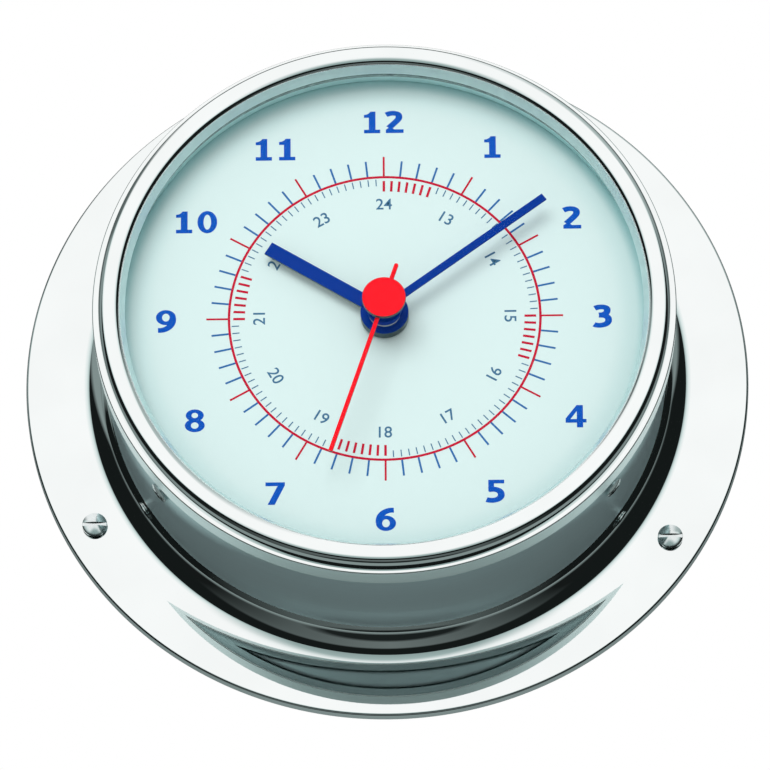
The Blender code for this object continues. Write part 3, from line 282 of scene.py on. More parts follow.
def arc(centre_r, centre_z, radius, start, end, steps):
    """Points (r, z) on an arc in a turned section, angles in degrees from +r towards +z."""
    points = []
    for step in range(steps + 1):
        turn = math.radians(start + (end - start) * step / steps)
        points.append((centre_r + radius * math.cos(turn), centre_z + radius * math.sin(turn)))
    return points


def bend(start, corner, end, steps):
    """Points on a soft curve from start to end that is drawn towards a corner."""
    points = []
    for step in range(steps + 1):
        t = step / steps
        points.append(
            tuple((1 - t) ** 2 * a + 2 * t * (1 - t) * b + t * t * c for a, b, c in zip(start, corner, end))
        )
    return points


def circle_point(radius, turn):
    """The point (x, y) at a radius, turned clockwise from 12 o'clock."""
    return radius * math.sin(turn), radius * math.cos(turn)


def circle_points(radius, steps):
    return [circle_point(radius, math.tau * step / steps) for step in range(steps)]


def lathe(profile, steps):
    """A closed section (r, z) turned once about z. A section that meets the axis is open there."""
    shape = bmesh.new()
    rings = []
    for r, z in profile:
        if r < ON_AXIS:
            rings.append([shape.verts.new((0.0, 0.0, z))])
        else:
            rings.append([shape.verts.new((x, y, z)) for x, y in circle_points(r, steps)])
    for near, far in zip(rings, rings[1:] + rings[:1]):
        bridge(shape, near, far)
    bmesh.ops.recalc_face_normals(shape, faces=shape.faces)
    return shape


def bridge(shape, near, far):
    """Faces between two rings of a turned shape, either of which may be a point on the axis."""
    count = max(len(near), len(far))
    if count == 1:
        return
    for index in range(count):
        after = (index + 1) % count
        corners = [near[index % len(near)], near[after % len(near)], far[after % len(far)], far[index % len(far)]]
        shape.faces.new(list(dict.fromkeys(corners)))


def washer(outer, inner, low, high, steps):
    """A flat ring between two radii and two heights."""
    return lathe([(outer, high), (outer, low), (inner, low), (inner, high)], steps)


def disc(radius, low, high, steps):
    """A full round plate between two heights."""
    return lathe([(0.0, high), (radius, high), (radius, low), (0.0, low)], steps)


def plate(outline, bottom, top, holes=()):
    """A flat outline with holes, lists of (x, y), as a solid from bottom to top."""
    shape = bmesh.new()
    edges = []
    for loop in (outline, *holes):
        ring = [shape.verts.new((x, y, bottom)) for x, y in loop]
        edges += [shape.edges.new((a, b)) for a, b in zip(ring, ring[1:] + ring[:1])]
    bmesh.ops.triangle_fill(shape, use_beauty=True, edges=edges)
    raised = bmesh.ops.extrude_face_region(shape, geom=shape.faces[:])
    corners = [item for item in raised["geom"] if isinstance(item, bmesh.types.BMVert)]
    bmesh.ops.translate(shape, verts=corners, vec=(0.0, 0.0, top - bottom))
    bmesh.ops.recalc_face_normals(shape, faces=shape.faces)
    return shape


def dome(edge_radius, edge_z, crown_z, steps):
    """Points from the edge of a shallow dome to its crown on the axis."""
    rise = crown_z - edge_z
    ball = (edge_radius**2 + rise**2) / (2 * rise)
    centre_z = crown_z - ball
    start = math.degrees(math.asin((edge_z - centre_z) / ball))
    points = arc(0.0, centre_z, ball, start, 90.0, steps)
    points[-1] = (0.0, crown_z)
    return points


def add_box(shape, left, right, low, high, bottom, top, turn):
    """A thin block added to a shape and turned clockwise by an angle."""
    block = bmesh.ops.create_cube(shape, size=1.0)["verts"]
    middle = Vector(((left + right) / 2, (low + high) / 2, (bottom + top) / 2))
    size = Matrix.Diagonal((right - left, high - low, top - bottom, 1.0))
    place = Matrix.Rotation(-turn, 4, "Z") @ Matrix.Translation(middle) @ size
    bmesh.ops.transform(shape, matrix=place, verts=block)


def settle(name, shape):
    """A mesh made of a shape, which is freed."""
    mesh = bpy.data.meshes.new(name)
    shape.to_mesh(mesh)
    shape.free()
    return mesh


def to_mesh(name, shape, place=Matrix.Identity(4)):
    """A mesh in the world's directions from a shape in the clock's."""
    shape.transform(WALL_TURN @ place)
    return settle(name, shape)


def join_part(shape, part):
    """Adds a second shape to a first one and frees it."""
    mesh = settle("part", part)
    shape.from_mesh(mesh)
    bpy.data.meshes.remove(mesh)


def off_axis(place):
    """How far a place in the world lies from the clock's axis."""
    return math.hypot(place.x, place.z)


def in_scene(name, data):
    """An object made of data and linked to the scene."""
    made = bpy.data.objects.new(name, data)
    bpy.context.scene.collection.objects.link(made)
    return made


def evaluated_mesh(made):
    """A new mesh of an object as its curves or modifiers shape it."""
    bpy.context.view_layer.update()
    return bpy.data.meshes.new_from_object(made.evaluated_get(bpy.context.evaluated_depsgraph_get()))


def piece(name, mesh, finishes, body, nodes=()):
    """A finished piece that rides on a body and stands for CAD nodes."""
    made = in_scene(name, mesh)
    for finish in finishes:
        mesh.materials.append(finish)
    mesh.shade_smooth()
    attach(made, body)
    if nodes:
        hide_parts(*nodes)
    return made


def crisp(made, limit=SHARP):
    """Keeps flat faces flat and corners sharp under smooth shading."""
    made.data.set_sharp_from_angle(angle=math.radians(limit))
    weighted = made.modifiers.new("weighted_normals", "WEIGHTED_NORMAL")
    weighted.keep_sharp = True
    weighted.weight = 80


def rounded(made, width, steps=2):
    """Rounds a piece's corners by a small width."""
    bevel = made.modifiers.new("edge_round", "BEVEL")
    bevel.width = width
    bevel.segments = steps
    bevel.limit_method = "ANGLE"
    bevel.angle_limit = math.radians(SHARP)
    bevel.harden_normals = False
    crisp(made, SHARP_WHEN_ROUNDED)


def edged_node(node, finish, width):
    """A CAD node again, with welded corners, whole flat faces, rounded edges and a finish."""
    shape = bmesh.new()
    shape.from_mesh(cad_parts[node].data)
    bmesh.ops.remove_doubles(shape, verts=shape.verts, dist=WELD)
    bmesh.ops.dissolve_limit(shape, angle_limit=math.radians(1.0), verts=shape.verts, edges=shape.edges)
    name = node + "_finished"
    rounded(piece(name, settle(name, shape), [finish], "case", [node]), width)


def finish_node(node, finish):
    """Gives a CAD node a finish and leaves its shape."""
    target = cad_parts[node]
    target.data.materials.clear()
    target.data.materials.append(finish)


# Finishes


class Shading:
    """A node tree under construction."""

    def __init__(self, tree):
        self.tree = tree

    def plug(self, node, socket, value):
        """Gives a node's input a constant or another node's output."""
        if isinstance(value, bpy.types.NodeSocket):
            self.tree.links.new(value, node.inputs[socket])
        else:
            node.inputs[socket].default_value = value

    def node(self, kind, inputs=None, **options):
        made = self.tree.nodes.new("ShaderNode" + kind)
        for option, value in options.items():
            setattr(made, option, value)
        for socket, value in (inputs or {}).items():
            self.plug(made, socket, value)
        return made

    def ramp(self, value, stops, interpolation="LINEAR"):
        """Colours along a value, from stops of (value from 0 to 1, colour)."""
        made = self.node("ValToRGB", {"Fac": value})
        made.color_ramp.interpolation = interpolation
        elements = made.color_ramp.elements
        while len(elements) < len(stops):
            elements.new(0.5)
        for element, (place, tint) in zip(elements, stops):
            element.position = place
            element.color = (*tint, 1.0)
        return made.outputs["Color"]

    def distance(self, vector):
        return self.node("VectorMath", {0: vector}, operation="LENGTH").outputs["Value"]

    def larger(self, first, second):
        return self.node("Math", {0: first, 1: second}, operation="MAXIMUM").outputs["Value"]

    def spread(self, value, low, high):
        """A value mapped so that low gives 0 and high gives 1."""
        return self.node("MapRange", {"Value": value, "From Min": low, "From Max": high}).outputs["Result"]

    def choose(self, share_of_second, first, second):
        return self.node("MixShader", {"Fac": share_of_second, 1: first, 2: second}).outputs["Shader"]


class Finish(Shading):
    """A material under construction: its shader, its node tree and the piece's own coordinates."""

    def __init__(self, name, base, metallic=0.0, roughness=0.5):
        self.material = bpy.data.materials.new(name)
        self.material.use_nodes = True
        super().__init__(self.material.node_tree)
        self.base = base
        self.shader = self.tree.nodes["Principled BSDF"]
        self.shade("Base Color", (*base, 1.0))
        self.shade("Metallic", metallic)
        self.shade("Roughness", roughness)
        self.place = self.node("TexCoord").outputs["Object"]

    def shade(self, socket, value):
        self.plug(self.shader, socket, value)

    def stretched(self, scale):
        return self.node("Mapping", {"Vector": self.place, "Scale": scale}).outputs["Vector"]

    def noise(self, scale, detail=3.0, place=None):
        inputs = {"Vector": place or self.place, "Scale": scale, "Detail": detail}
        return self.node("TexNoise", inputs).outputs["Fac"]

    def wave(self, scale, distortion, **kind):
        inputs = {"Vector": self.place, "Scale": scale, "Distortion": distortion}
        return self.node("TexWave", inputs, **kind).outputs["Fac"]

    def vary_tone(self, pattern, dark, light):
        """The base colour runs between two of its tones with a pattern."""
        stops = ((0.3, toned(self.base, dark)), (0.7, toned(self.base, light)))
        self.shade("Base Color", self.ramp(pattern, stops))

    def vary_roughness(self, pattern, low, high):
        spread = self.node("MapRange", {"Value": pattern, "To Min": low, "To Max": high})
        self.shade("Roughness", spread.outputs["Result"])

    def bump(self, pattern, strength, depth):
        relief = self.node("Bump", {"Height": pattern, "Strength": strength, "Distance": depth})
        self.shade("Normal", relief.outputs["Normal"])


def toned(base, factor):
    return tuple(min(1.0, channel * factor) for channel in base)


def polished_steel(name, base):
    """Mirror polish with a faint haze and hairline polishing marks."""
    made = Finish(name, base, 1.0, 0.03)
    made.vary_tone(made.noise(90.0, 2.0), 0.985, 1.015)
    made.vary_roughness(made.noise(160.0), 0.01, 0.022)
    return made.material


def spun_steel(name, base):
    """Steel that keeps the fine haze of spinning round the drum's side."""
    made = Finish(name, base, 0.77, 0.28)
    rings = made.noise(1200.0, place=made.stretched((0.02, 1.0, 0.02)))
    made.vary_tone(rings, 0.985, 1.015)
    made.vary_roughness(rings, 0.27, 0.29)
    return made.material


def satin_steel(name, base):
    """Blasted steel, dull enough to mirror only a haze."""
    made = Finish(name, base, 0.9, 0.5)
    made.vary_tone(made.noise(500.0, 2.0), 0.96, 1.04)
    made.vary_roughness(made.noise(900.0, 2.0), 0.46, 0.56)
    return made.material


def turned_steel(name, base):
    """Bright turned steel with fine rings round its own z axis."""
    made = Finish(name, base, 1.0, 0.2)
    made.vary_tone(made.noise(1500.0), 0.96, 1.04)
    made.vary_roughness(made.noise(2500.0), 0.10, 0.16)
    made.bump(made.wave(2600.0, 0.4, wave_type="RINGS", rings_direction="Z"), 0.05, 0.01 * MM)
    return made.material


def clear_glass(name, base):
    """Glass that lets the light of lamps and room straight through to the dial."""
    made = Finish(name, base, 0.0, 0.0)
    made.shade("IOR", 1.1)
    made.shade("Transmission Weight", 1.0)
    made.vary_roughness(made.noise(1200.0), 0.0, 0.006)
    rays = made.node("LightPath").outputs
    unseen = made.larger(rays["Is Shadow Ray"], rays["Is Diffuse Ray"])
    clear = made.node("BsdfTransparent", {"Color": (*base, 1.0)}).outputs["BSDF"]
    surface = made.choose(unseen, made.shader.outputs["BSDF"], clear)
    made.plug(made.tree.nodes["Material Output"], "Surface", surface)
    return made.material


def seal_rubber(name, base):
    """Grained rubber, dusty in its pores."""
    made = Finish(name, base, 0.0, 0.65)
    made.vary_tone(made.noise(900.0, 4.0), 0.7, 1.5)
    made.vary_roughness(made.noise(2200.0), 0.55, 0.8)
    made.bump(made.noise(4000.0, 4.0), 0.3, 0.02 * MM)
    return made.material


# Shares of the radius between which the dial's enamel is painted darker as shade from the bezel, and the place and
# depth of its middle tone
RIM_SHADE_START = 0.84
RIM_SHADE_END = 0.985
RIM_SHADE_MIDDLE = 0.6
RIM_SHADE_MIDDLE_DEPTH = 0.2


def dial_enamel(name, base, rim, radius):
    """Satin enamel with painted shade that deepens its tone towards the rim, and the faint orange peel of sprayed
    paint.
    """
    made = Finish(name, base, 0.0, 0.42)
    made.shade("Specular IOR Level", 0.2)
    parts = made.node("SeparateXYZ", {"Vector": made.place}).outputs
    flat = made.node("CombineXYZ", {"X": parts["X"], "Y": parts["Z"]}).outputs["Vector"]
    rim_shade_share = made.spread(made.distance(flat), RIM_SHADE_START * radius, RIM_SHADE_END * radius)
    between = [(1.0 - RIM_SHADE_MIDDLE_DEPTH) * a + RIM_SHADE_MIDDLE_DEPTH * b for a, b in zip(base, rim)]
    # Painted shade: towards the edge the base colour runs to the darker rim colour, where the bezel shades the dial.
    made.shade("Base Color", made.ramp(rim_shade_share, ((0.0, base), (RIM_SHADE_MIDDLE, between), (1.0, rim)), "EASE"))
    made.vary_roughness(made.noise(900.0), 0.36, 0.48)
    made.bump(made.noise(1600.0), 0.05, 0.01 * MM)
    return made.material


def printed_ink(name, base):
    """Screen-printed ink with a slightly uneven cover."""
    made = Finish(name, base, 0.0, 0.4)
    made.shade("Specular IOR Level", 0.05)
    made.vary_tone(made.noise(2200.0, 4.0), 0.9, 1.1)
    made.vary_roughness(made.noise(3000.0, 2.0), 0.32, 0.5)
    return made.material


def gloss_lacquer(name, base):
    """Baked lacquer with a faint orange peel."""
    made = Finish(name, base, 0.0, 0.35)
    made.shade("Specular IOR Level", 0.06)
    made.vary_tone(made.noise(1400.0), 0.92, 1.06)
    made.bump(made.noise(2600.0, 2.0), 0.06, 0.01 * MM)
    return made.material


def cut_metal(name, base):
    """The bare edge that a punch leaves, drawn along the punch's stroke."""
    made = Finish(name, base, 1.0, 0.35)
    streaks = made.noise(3000.0, place=made.stretched((1.0, 0.12, 1.0)))
    made.vary_tone(streaks, 0.75, 1.25)
    made.vary_roughness(streaks, 0.25, 0.45)
    return made.material


def moulded_plastic(name, base, roughness):
    """Moulded plastic with the fine spark-eroded grain of its tool."""
    made = Finish(name, base, 0.0, roughness)
    made.vary_tone(made.noise(300.0), 0.92, 1.08)
    made.vary_roughness(made.noise(2600.0, 4.0), roughness - 0.08, roughness + 0.1)
    made.bump(made.noise(5000.0, 4.0), 0.35, 0.02 * MM)
    return made.material


def white_acetal(name, base):
    """Waxy white plastic that lets a little light in."""
    made = Finish(name, base, 0.0, 0.38)
    made.shade("Subsurface Weight", 0.15)
    made.shade("Subsurface Radius", (1.0 * MM, 0.8 * MM, 0.6 * MM))
    made.shade("Subsurface Scale", 1.0)
    made.vary_tone(made.noise(400.0), 0.96, 1.04)
    made.vary_roughness(made.noise(3000.0), 0.32, 0.46)
    return made.material


def brushed_metal(name, base, low=0.2, high=0.36):
    """Rolled and brushed sheet with its grain along X."""
    made = Finish(name, base, 1.0, 0.28)
    grain = made.noise(2400.0, 4.0, made.stretched((0.06, 1.0, 1.0)))
    made.vary_tone(grain, 0.88, 1.1)
    made.vary_roughness(grain, low, high)
    made.bump(grain, 0.15, 0.01 * MM)
    return made.material


def wound_copper(name, base):
    """Layer-wound enamelled wire, its turns side by side along X, with painted shade in the grooves between the
    turns.
    """
    made = Finish(name, base, 1.0, 0.3)
    turns = made.wave(1300.0, 0.6, wave_type="BANDS", bands_direction="X")
    # Painted shade: the tone is darkest where the bands' bump is lowest, in the grooves between turns.
    made.vary_tone(turns, 0.55, 1.15)
    made.vary_roughness(made.noise(2400.0), 0.22, 0.4)
    made.bump(turns, 0.9, 0.05 * MM)
    return made.material


def shrink_film(name, base):
    """Tight film with small wrinkles round the cell."""
    made = Finish(name, base, 0.0, 0.3)
    made.shade("Coat Weight", 0.4)
    made.shade("Coat Roughness", 0.12)
    made.vary_tone(made.noise(240.0), 0.92, 1.08)
    made.vary_roughness(made.noise(1500.0), 0.24, 0.38)
    made.bump(made.noise(420.0, place=made.stretched((2.5, 1.0, 1.0))), 0.2, 0.04 * MM)
    return made.material


def phenolic_board(name, base):
    """Paper-filled board with its fibres showing."""
    made = Finish(name, base, 0.0, 0.5)
    fibres = made.noise(1800.0, 5.0, made.stretched((0.25, 1.0, 1.0)))
    made.vary_tone(fibres, 0.75, 1.3)
    made.vary_roughness(fibres, 0.42, 0.6)
    return made.material


# Pieces


# Points on the curves of the case's, the bezel's and the glass's sections
FILLET_STEPS = 32
SWEEP_STEPS = 12
EDGE_STEPS = 8
FOOT_EDGE_STEPS = 6
SLOPE_STEPS = 16
BEAD_STEPS = 48
DOME_STEPS = 48
# Share of the bead's height over which its inner slope is straight
KNEE = 0.7
# How far the middles of a surface's faces may lie from its radius or height
SIDE_MARGIN = 0.25 * MM
SLOPE_MARGIN = 0.01 * MM
SKIRT_MARGIN = 0.05 * MM
RIM_MARGIN = 0.02 * MM
# Bounds on one part of a face's normal: below SIDEWAYS along the clock's axis the face looks to the
# side, above OUTWARDS it looks out of the wall, and above ENDWAYS it is an end of the cell
SIDEWAYS = 0.5
OUTWARDS = 0.7
ENDWAYS = 0.9


class CLOCK_OT_case(bpy.types.Operator):
    """Spin the case: a drum, its foot curve and the flange with a turned-down rim"""

    bl_idname = "clock.case"
    bl_label = "Case"

    def execute(self, context):
        sizes = context.scene.clock_case
        colours = context.scene.clock_finishes
        drum_foot = sizes.drum_radius + sizes.drum_flare / 2
        drum_front = sizes.drum_radius - sizes.drum_flare / 2
        foot = drum_foot + sizes.foot_fillet
        slope, steep = math.degrees(sizes.flange_slope), math.degrees(sizes.foot_slope)
        rise, fall = math.sin(sizes.flange_slope), math.tan(sizes.flange_slope)
        tilted = math.cos(sizes.flange_slope)

        def top_z(radius):
            return sizes.flange_height + fall * (sizes.level_radius - radius)

        offset = sizes.foot_sweep - sizes.foot_fillet
        sweep = foot + offset * math.sin(sizes.foot_slope)
        sweep_z = top_z(sweep - sizes.foot_sweep * rise) + sizes.foot_sweep * tilted
        foot_z = sweep_z - offset * math.cos(sizes.foot_slope)
        edge = sizes.flange_radius - sizes.edge_round
        edge_z = top_z(edge + sizes.edge_round * rise) - sizes.edge_round * tilted
        inner_rim = sizes.flange_radius - sizes.sheet
        under_fillet = sizes.foot_fillet + sizes.sheet
        under_sweep = sizes.foot_sweep + sizes.sheet
        profile = [(drum_front, sizes.drum_front)]
        profile += arc(foot, foot_z, sizes.foot_fillet, 180.0, 270.0 - steep, FILLET_STEPS)
        profile += arc(sweep, sweep_z, sizes.foot_sweep, 270.0 - steep, 270.0 - slope, SWEEP_STEPS)[1:]
        profile += arc(edge, edge_z, sizes.edge_round, 90.0 - slope, 0.0, EDGE_STEPS)
        profile += [(sizes.flange_radius, 0.0), (inner_rim, 0.0)]
        profile += [(inner_rim, top_z(inner_rim) - sizes.sheet / tilted)]
        profile += arc(sweep, sweep_z, under_sweep, 270.0 - slope, 270.0 - steep, SWEEP_STEPS)
        profile += arc(foot, foot_z, under_fillet, 270.0 - steep, 180.0, FILLET_STEPS)[1:]
        profile += [(drum_front - sizes.sheet, sizes.drum_front)]
        steel = polished_steel("case_steel", colours.steel)
        side = spun_steel("drum_side_steel", colours.drum_steel)
        mesh = to_mesh("case_shell", lathe(profile, sizes.steps))
        side_radius = drum_front - SIDE_MARGIN
        side_z = sizes.flange_height + sizes.side_finish
        for face in mesh.polygons:
            on_side = off_axis(face.center) > side_radius and -face.center.y > side_z
            face.material_index = 1 if on_side else 0
        crisp(piece("case_shell", mesh, [steel, side], "case", ["case_body"]))
        return {"FINISHED"}


class CLOCK_OT_bezel(bpy.types.Operator):
    """Turn the bezel: a full bead with a straight satin slope inside, a short skirt and a collar in the drum"""

    bl_idname = "clock.bezel"
    bl_label = "Bezel"

    def execute(self, context):
        sizes = context.scene.clock_bezel
        case = context.scene.clock_case
        colours = context.scene.clock_finishes
        shoulder_z = case.drum_front + sizes.web + sizes.clearance
        skirt_z = shoulder_z - sizes.skirt_height
        skirt = sizes.outer_radius - sizes.corner
        collar = case.drum_radius - case.sheet - sizes.clearance
        collar_z = shoulder_z - sizes.collar_depth
        groove = case.drum_radius + sizes.clearance
        floor_z = shoulder_z - sizes.clearance / 2
        inner = sizes.bead_centre - sizes.bead_radius
        outer = sizes.bead_centre + sizes.bead_radius - sizes.bead_top
        rise = sizes.bead_radius
        slope = math.tan(sizes.bead_lean)
        knee = (inner + KNEE * rise / slope, shoulder_z + KNEE * rise)
        corner = (inner + rise / slope, shoulder_z + rise)
        crown = (sizes.bead_top, shoulder_z + rise)
        power = 2.0 / sizes.bead_squareness
        profile = [(inner, shoulder_z), *bend(knee, corner, crown, SLOPE_STEPS)]
        for r, z in arc(0.0, 0.0, 1.0, 90.0, 0.0, BEAD_STEPS)[1:]:
            profile.append((sizes.bead_top + outer * max(r, 0.0) ** power, shoulder_z + rise * max(z, 0.0) ** power))
        draft = -math.degrees(math.atan2(sizes.skirt_draft, sizes.skirt_height - 2 * sizes.corner))
        profile += arc(skirt, shoulder_z - sizes.corner, sizes.corner, 90.0, draft, EDGE_STEPS)
        profile += arc(
            skirt - sizes.skirt_draft, skirt_z + sizes.corner, sizes.corner, draft, -90.0, FOOT_EDGE_STEPS
        )
        profile += [(groove, skirt_z), (groove, shoulder_z - sizes.web)]
        profile += [(collar, shoulder_z - sizes.web), (collar, collar_z)]
        profile += [(collar - sizes.collar_wall, collar_z), (collar - sizes.collar_wall, floor_z)]
        profile += [(inner, floor_z)]
        finishes = [
            polished_steel("bezel_steel", colours.steel),
            satin_steel("bezel_inner_steel", colours.spacer),
            spun_steel("skirt_steel", colours.skirt),
        ]
        mesh = to_mesh("bezel_bead", lathe(profile, case.steps))
        for face in mesh.polygons:
            away, height = off_axis(face.center), -face.center.y
            face.material_index = 1 if away < knee[0] and height > floor_z - SLOPE_MARGIN else 0
            on_skirt = skirt_z + sizes.corner / 2 < height < shoulder_z - sizes.corner
            if on_skirt and away > groove + SKIRT_MARGIN:
                face.material_index = 2
        crisp(piece("bezel_bead", mesh, finishes, "case", ["bezel_ring"]))
        return {"FINISHED"}


class CLOCK_OT_glass(bpy.types.Operator):
    """Make the domed glass, the seal under its rim and the spacer ring on the dial"""

    bl_idname = "clock.glass"
    bl_label = "Glass and seal"

    def execute(self, context):
        sizes = context.scene.clock_glass
        steps = context.scene.clock_case.steps
        colours = context.scene.clock_finishes
        radius = reach("glass_lens")
        bottom, crown = heights("glass_lens")
        dome_radius = radius - sizes.rim_width
        inner = dome(dome_radius, bottom, crown - sizes.thickness, DOME_STEPS)
        outer = dome(dome_radius, bottom + sizes.thickness, crown, DOME_STEPS)
        profile = outer[::-1] + [(radius, bottom + sizes.thickness), (radius, bottom)] + inner
        mesh = to_mesh("domed_glass", lathe(profile, steps))
        glass = clear_glass("domed_glass", colours.glass)
        ground = satin_steel("ground_edge", colours.ground_edge)
        for face in mesh.polygons:
            on_edge = off_axis(face.center) > radius - RIM_MARGIN and abs(face.normal.y) < SIDEWAYS
            face.material_index = 1 if on_edge else 0
        crisp(piece("domed_glass", mesh, [glass, ground], "case", ["glass_lens"]), limit=20.0)
        seal = washer(radius, radius - sizes.seal_width, *heights("glass_seal"), steps)
        rubber = seal_rubber("seal_rubber", colours.rubber)
        crisp(piece("seal_ring", to_mesh("seal_ring", seal), [rubber], "case", ["glass_seal"]))
        radius = reach("dial_spacer_ring")
        spacer = washer(radius, radius - sizes.spacer_width, *heights("dial_spacer_ring"), steps)
        mesh = to_mesh("spacer_ring", spacer)
        steel = satin_steel("spacer_steel", colours.spacer)
        crisp(piece("spacer_ring", mesh, [steel], "case", ["dial_spacer_ring"]))
        return {"FINISHED"}


class CLOCK_OT_dial(bpy.types.Operator):
    """Make the enamelled dial plate"""

    bl_idname = "clock.dial"
    bl_label = "Dial"

    def execute(self, context):
        sizes = context.scene.clock_dial
        colours = context.scene.clock_finishes
        shape = washer(reach("dial_plate"), sizes.bore, *heights("dial_plate"), context.scene.clock_case.steps)
        # Towards its rim the dial's enamel is painted darker, as shade from the bezel.
        enamel = dial_enamel("dial_enamel", colours.dial, colours.dial_rim, reach("glass_lens"))
        crisp(piece("dial", to_mesh("dial", shape), [enamel], "case", ["dial_plate"]))
        return {"FINISHED"}


def minute_angle(minute):
    return math.tau * minute / 60.0


def printed(name, shape, finish):
    """A shape of raised ink on the dial."""
    crisp(piece(name, to_mesh(name, shape), [finish], "case"))


def ticks(name, minutes, start, end, width, finish, sizes):
    """Printed ticks at the given minutes, between two radii."""
    bottom = front_z("dial_plate")
    shape = bmesh.new()
    for minute in minutes:
        top = bottom + sizes.print_height
        add_box(shape, -width / 2, width / 2, start, end, bottom, top, minute_angle(minute))
    printed(name, shape, finish)


# Bold numerals, one unit high: rings are (x, y, half width, half height, hole half width, hole
# half height), strokes are lists of points, plates are outlines, and a pierced plate is an
# outline and its hole.
STROKE = 0.215
CURVE_STEPS = 5
OVAL_STEPS = 40
# From digit to digit and from a digit's left to its middle, in digit widths
DIGIT_PITCH = 0.75
DIGIT_MIDDLE = 0.35
# Share of the ink's thickness by which each overlapping part of a digit lies lower than the last
LEVEL_STEP = 0.1
# Minutes from which the zones' ticks run, and how many each zone has
ZONE_STARTS = (0, 15, 30, 45)
ZONE_TICKS = 7
# Hours whose small numerals have their heads towards the dial's middle
FLIPPED_HOURS = range(16, 21)
BOLD = {
    "0": {"rings": [(0.35, 0.5, 0.315, 0.51, 0.12, 0.345)]},
    "1": {
        "plates": [
            [
                (0.31, 1.0), (0.47, 1.0), (0.47, 0.16), (0.62, 0.16), (0.62, 0.0), (0.1, 0.0), (0.1, 0.16),
                (0.255, 0.16), (0.255, 0.72), (0.1, 0.72), (0.1, 0.85), (0.19, 0.87), (0.26, 0.92),
            ]
        ]
    },
    "2": {
        "strokes": [
            [(0.06, 0.85), (0.19, 0.905), (0.32, 0.915), (0.44, 0.86), (0.475, 0.73), (0.41, 0.57), (0.15, 0.24)]
        ],
        "plates": [
            [(0.05, 0.165), (0.62, 0.165), (0.62, 0.0), (0.05, 0.0)], [(0.05, 0.15), (0.20, 0.30), (0.33, 0.15)]
        ],
    },
    "3": {
        "strokes": [
            [(0.07, 0.86), (0.2, 0.91), (0.35, 0.91), (0.455, 0.84), (0.455, 0.69), (0.36, 0.58), (0.2, 0.55)],
            [
                (0.2, 0.545), (0.37, 0.525), (0.485, 0.43), (0.5, 0.27), (0.42, 0.14), (0.26, 0.085), (0.13, 0.09),
                (0.04, 0.13),
            ],
        ]
    },
    "4": {
        "pierced": [
            [
                (0.37, 1.0), (0.57, 1.0), (0.57, 0.375), (0.68, 0.375), (0.68, 0.215), (0.57, 0.215), (0.57, 0.0),
                (0.375, 0.0), (0.375, 0.215), (0.02, 0.215), (0.02, 0.4),
            ],
            [(0.375, 0.375), (0.17, 0.375), (0.375, 0.73)],
        ]
    },
    "5": {
        "strokes": [
            [
                (0.11, 0.56), (0.26, 0.58), (0.4, 0.54), (0.49, 0.43), (0.5, 0.28), (0.42, 0.15), (0.28, 0.09),
                (0.15, 0.09), (0.04, 0.12),
            ]
        ],
        "plates": [[(0.1, 1.0), (0.6, 1.0), (0.6, 0.84), (0.28, 0.84), (0.28, 0.6), (0.1, 0.48)]],
    },
    "6": {
        "rings": [(0.35, 0.33, 0.315, 0.34, 0.12, 0.18)],
        "strokes": [[(0.6, 0.91), (0.45, 0.9), (0.3, 0.82), (0.19, 0.68), (0.14, 0.52), (0.13, 0.36)]],
    },
    "7": {
        "plates": [[(0.04, 1.0), (0.65, 1.0), (0.65, 0.86), (0.33, 0.0), (0.11, 0.0), (0.42, 0.835), (0.04, 0.835)]]
    },
    "8": {"rings": [(0.35, 0.74, 0.285, 0.27, 0.105, 0.12), (0.35, 0.285, 0.315, 0.295, 0.12, 0.145)]},
    "9": {
        "rings": [(0.35, 0.67, 0.315, 0.34, 0.12, 0.18)],
        "strokes": [[(0.1, 0.09), (0.25, 0.1), (0.4, 0.18), (0.51, 0.32), (0.56, 0.48), (0.57, 0.64)]],
    },
}


def between(p, q, r, s, t):
    """A coordinate on the soft curve from q to r that comes from p and goes on to s."""
    return 0.5 * (2 * q + (r - p) * t + (2 * p - 5 * q + 4 * r - s) * t**2 + (3 * q - p - 3 * r + s) * t**3)


def smooth(points):
    """Points on a soft curve through the given points."""
    ends = [points[0], *points, points[-1]]
    made = []
    for four in zip(ends, ends[1:], ends[2:], ends[3:]):
        for step in range(CURVE_STEPS):
            made.append(tuple(between(*way, step / CURVE_STEPS) for way in zip(*four)))
    return made + [points[-1]]


def ribbon(points, width):
    """The outline of a stroke of even width along points."""
    left, right = [], []
    for index, (x, y) in enumerate(points):
        before, after = points[max(index - 1, 0)], points[min(index + 1, len(points) - 1)]
        along = Vector((after[0] - before[0], after[1] - before[1])).normalized() * width / 2
        left.append((x - along.y, y + along.x))
        right.append((x + along.y, y - along.x))
    return left + right[::-1]


def oval(x, y, half_width, half_height):
    return [(x + half_width * px, y + half_height * py) for px, py in circle_points(1.0, OVAL_STEPS)]


def bold_parts(digit):
    """Outlines of a bold numeral, each with its holes."""
    drawn = BOLD[digit]
    parts = []
    for x, y, half_width, half_height, *hole in drawn.get("rings", ()):
        parts.append((oval(x, y, half_width, half_height), [oval(x, y, *hole)]))
    parts += [(ribbon(smooth(points), STROKE), []) for points in drawn.get("strokes", ())]
    parts += [(outline, []) for outline in drawn.get("plates", ())]
    if "pierced" in drawn:
        outline, hole = drawn["pierced"]
        parts.append((outline, [hole]))
    return parts


def hour_numerals(labels, finish, sizes):
    """Bold printed numerals; each label is (text, x, y)."""
    bottom = front_z("dial_plate")
    height = sizes.hour_size
    width = sizes.hour_stretch * height
    shape = bmesh.new()
    for text, x, y in labels:
        for index, digit in enumerate(text):
            left = x + (DIGIT_PITCH * (index - (len(text) - 1) / 2) - DIGIT_MIDDLE) * width
            for level, (outline, holes) in enumerate(bold_parts(digit)):
                outline, *holes = [
                    [(left + px * width, y + (py - 0.5) * height) for px, py in loop] for loop in (outline, *holes)
                ]
                top = bottom + sizes.print_height * (1.0 - LEVEL_STEP * level)
                join_part(shape, plate(outline, bottom, top, holes))
    printed("hour_numerals", shape, finish)


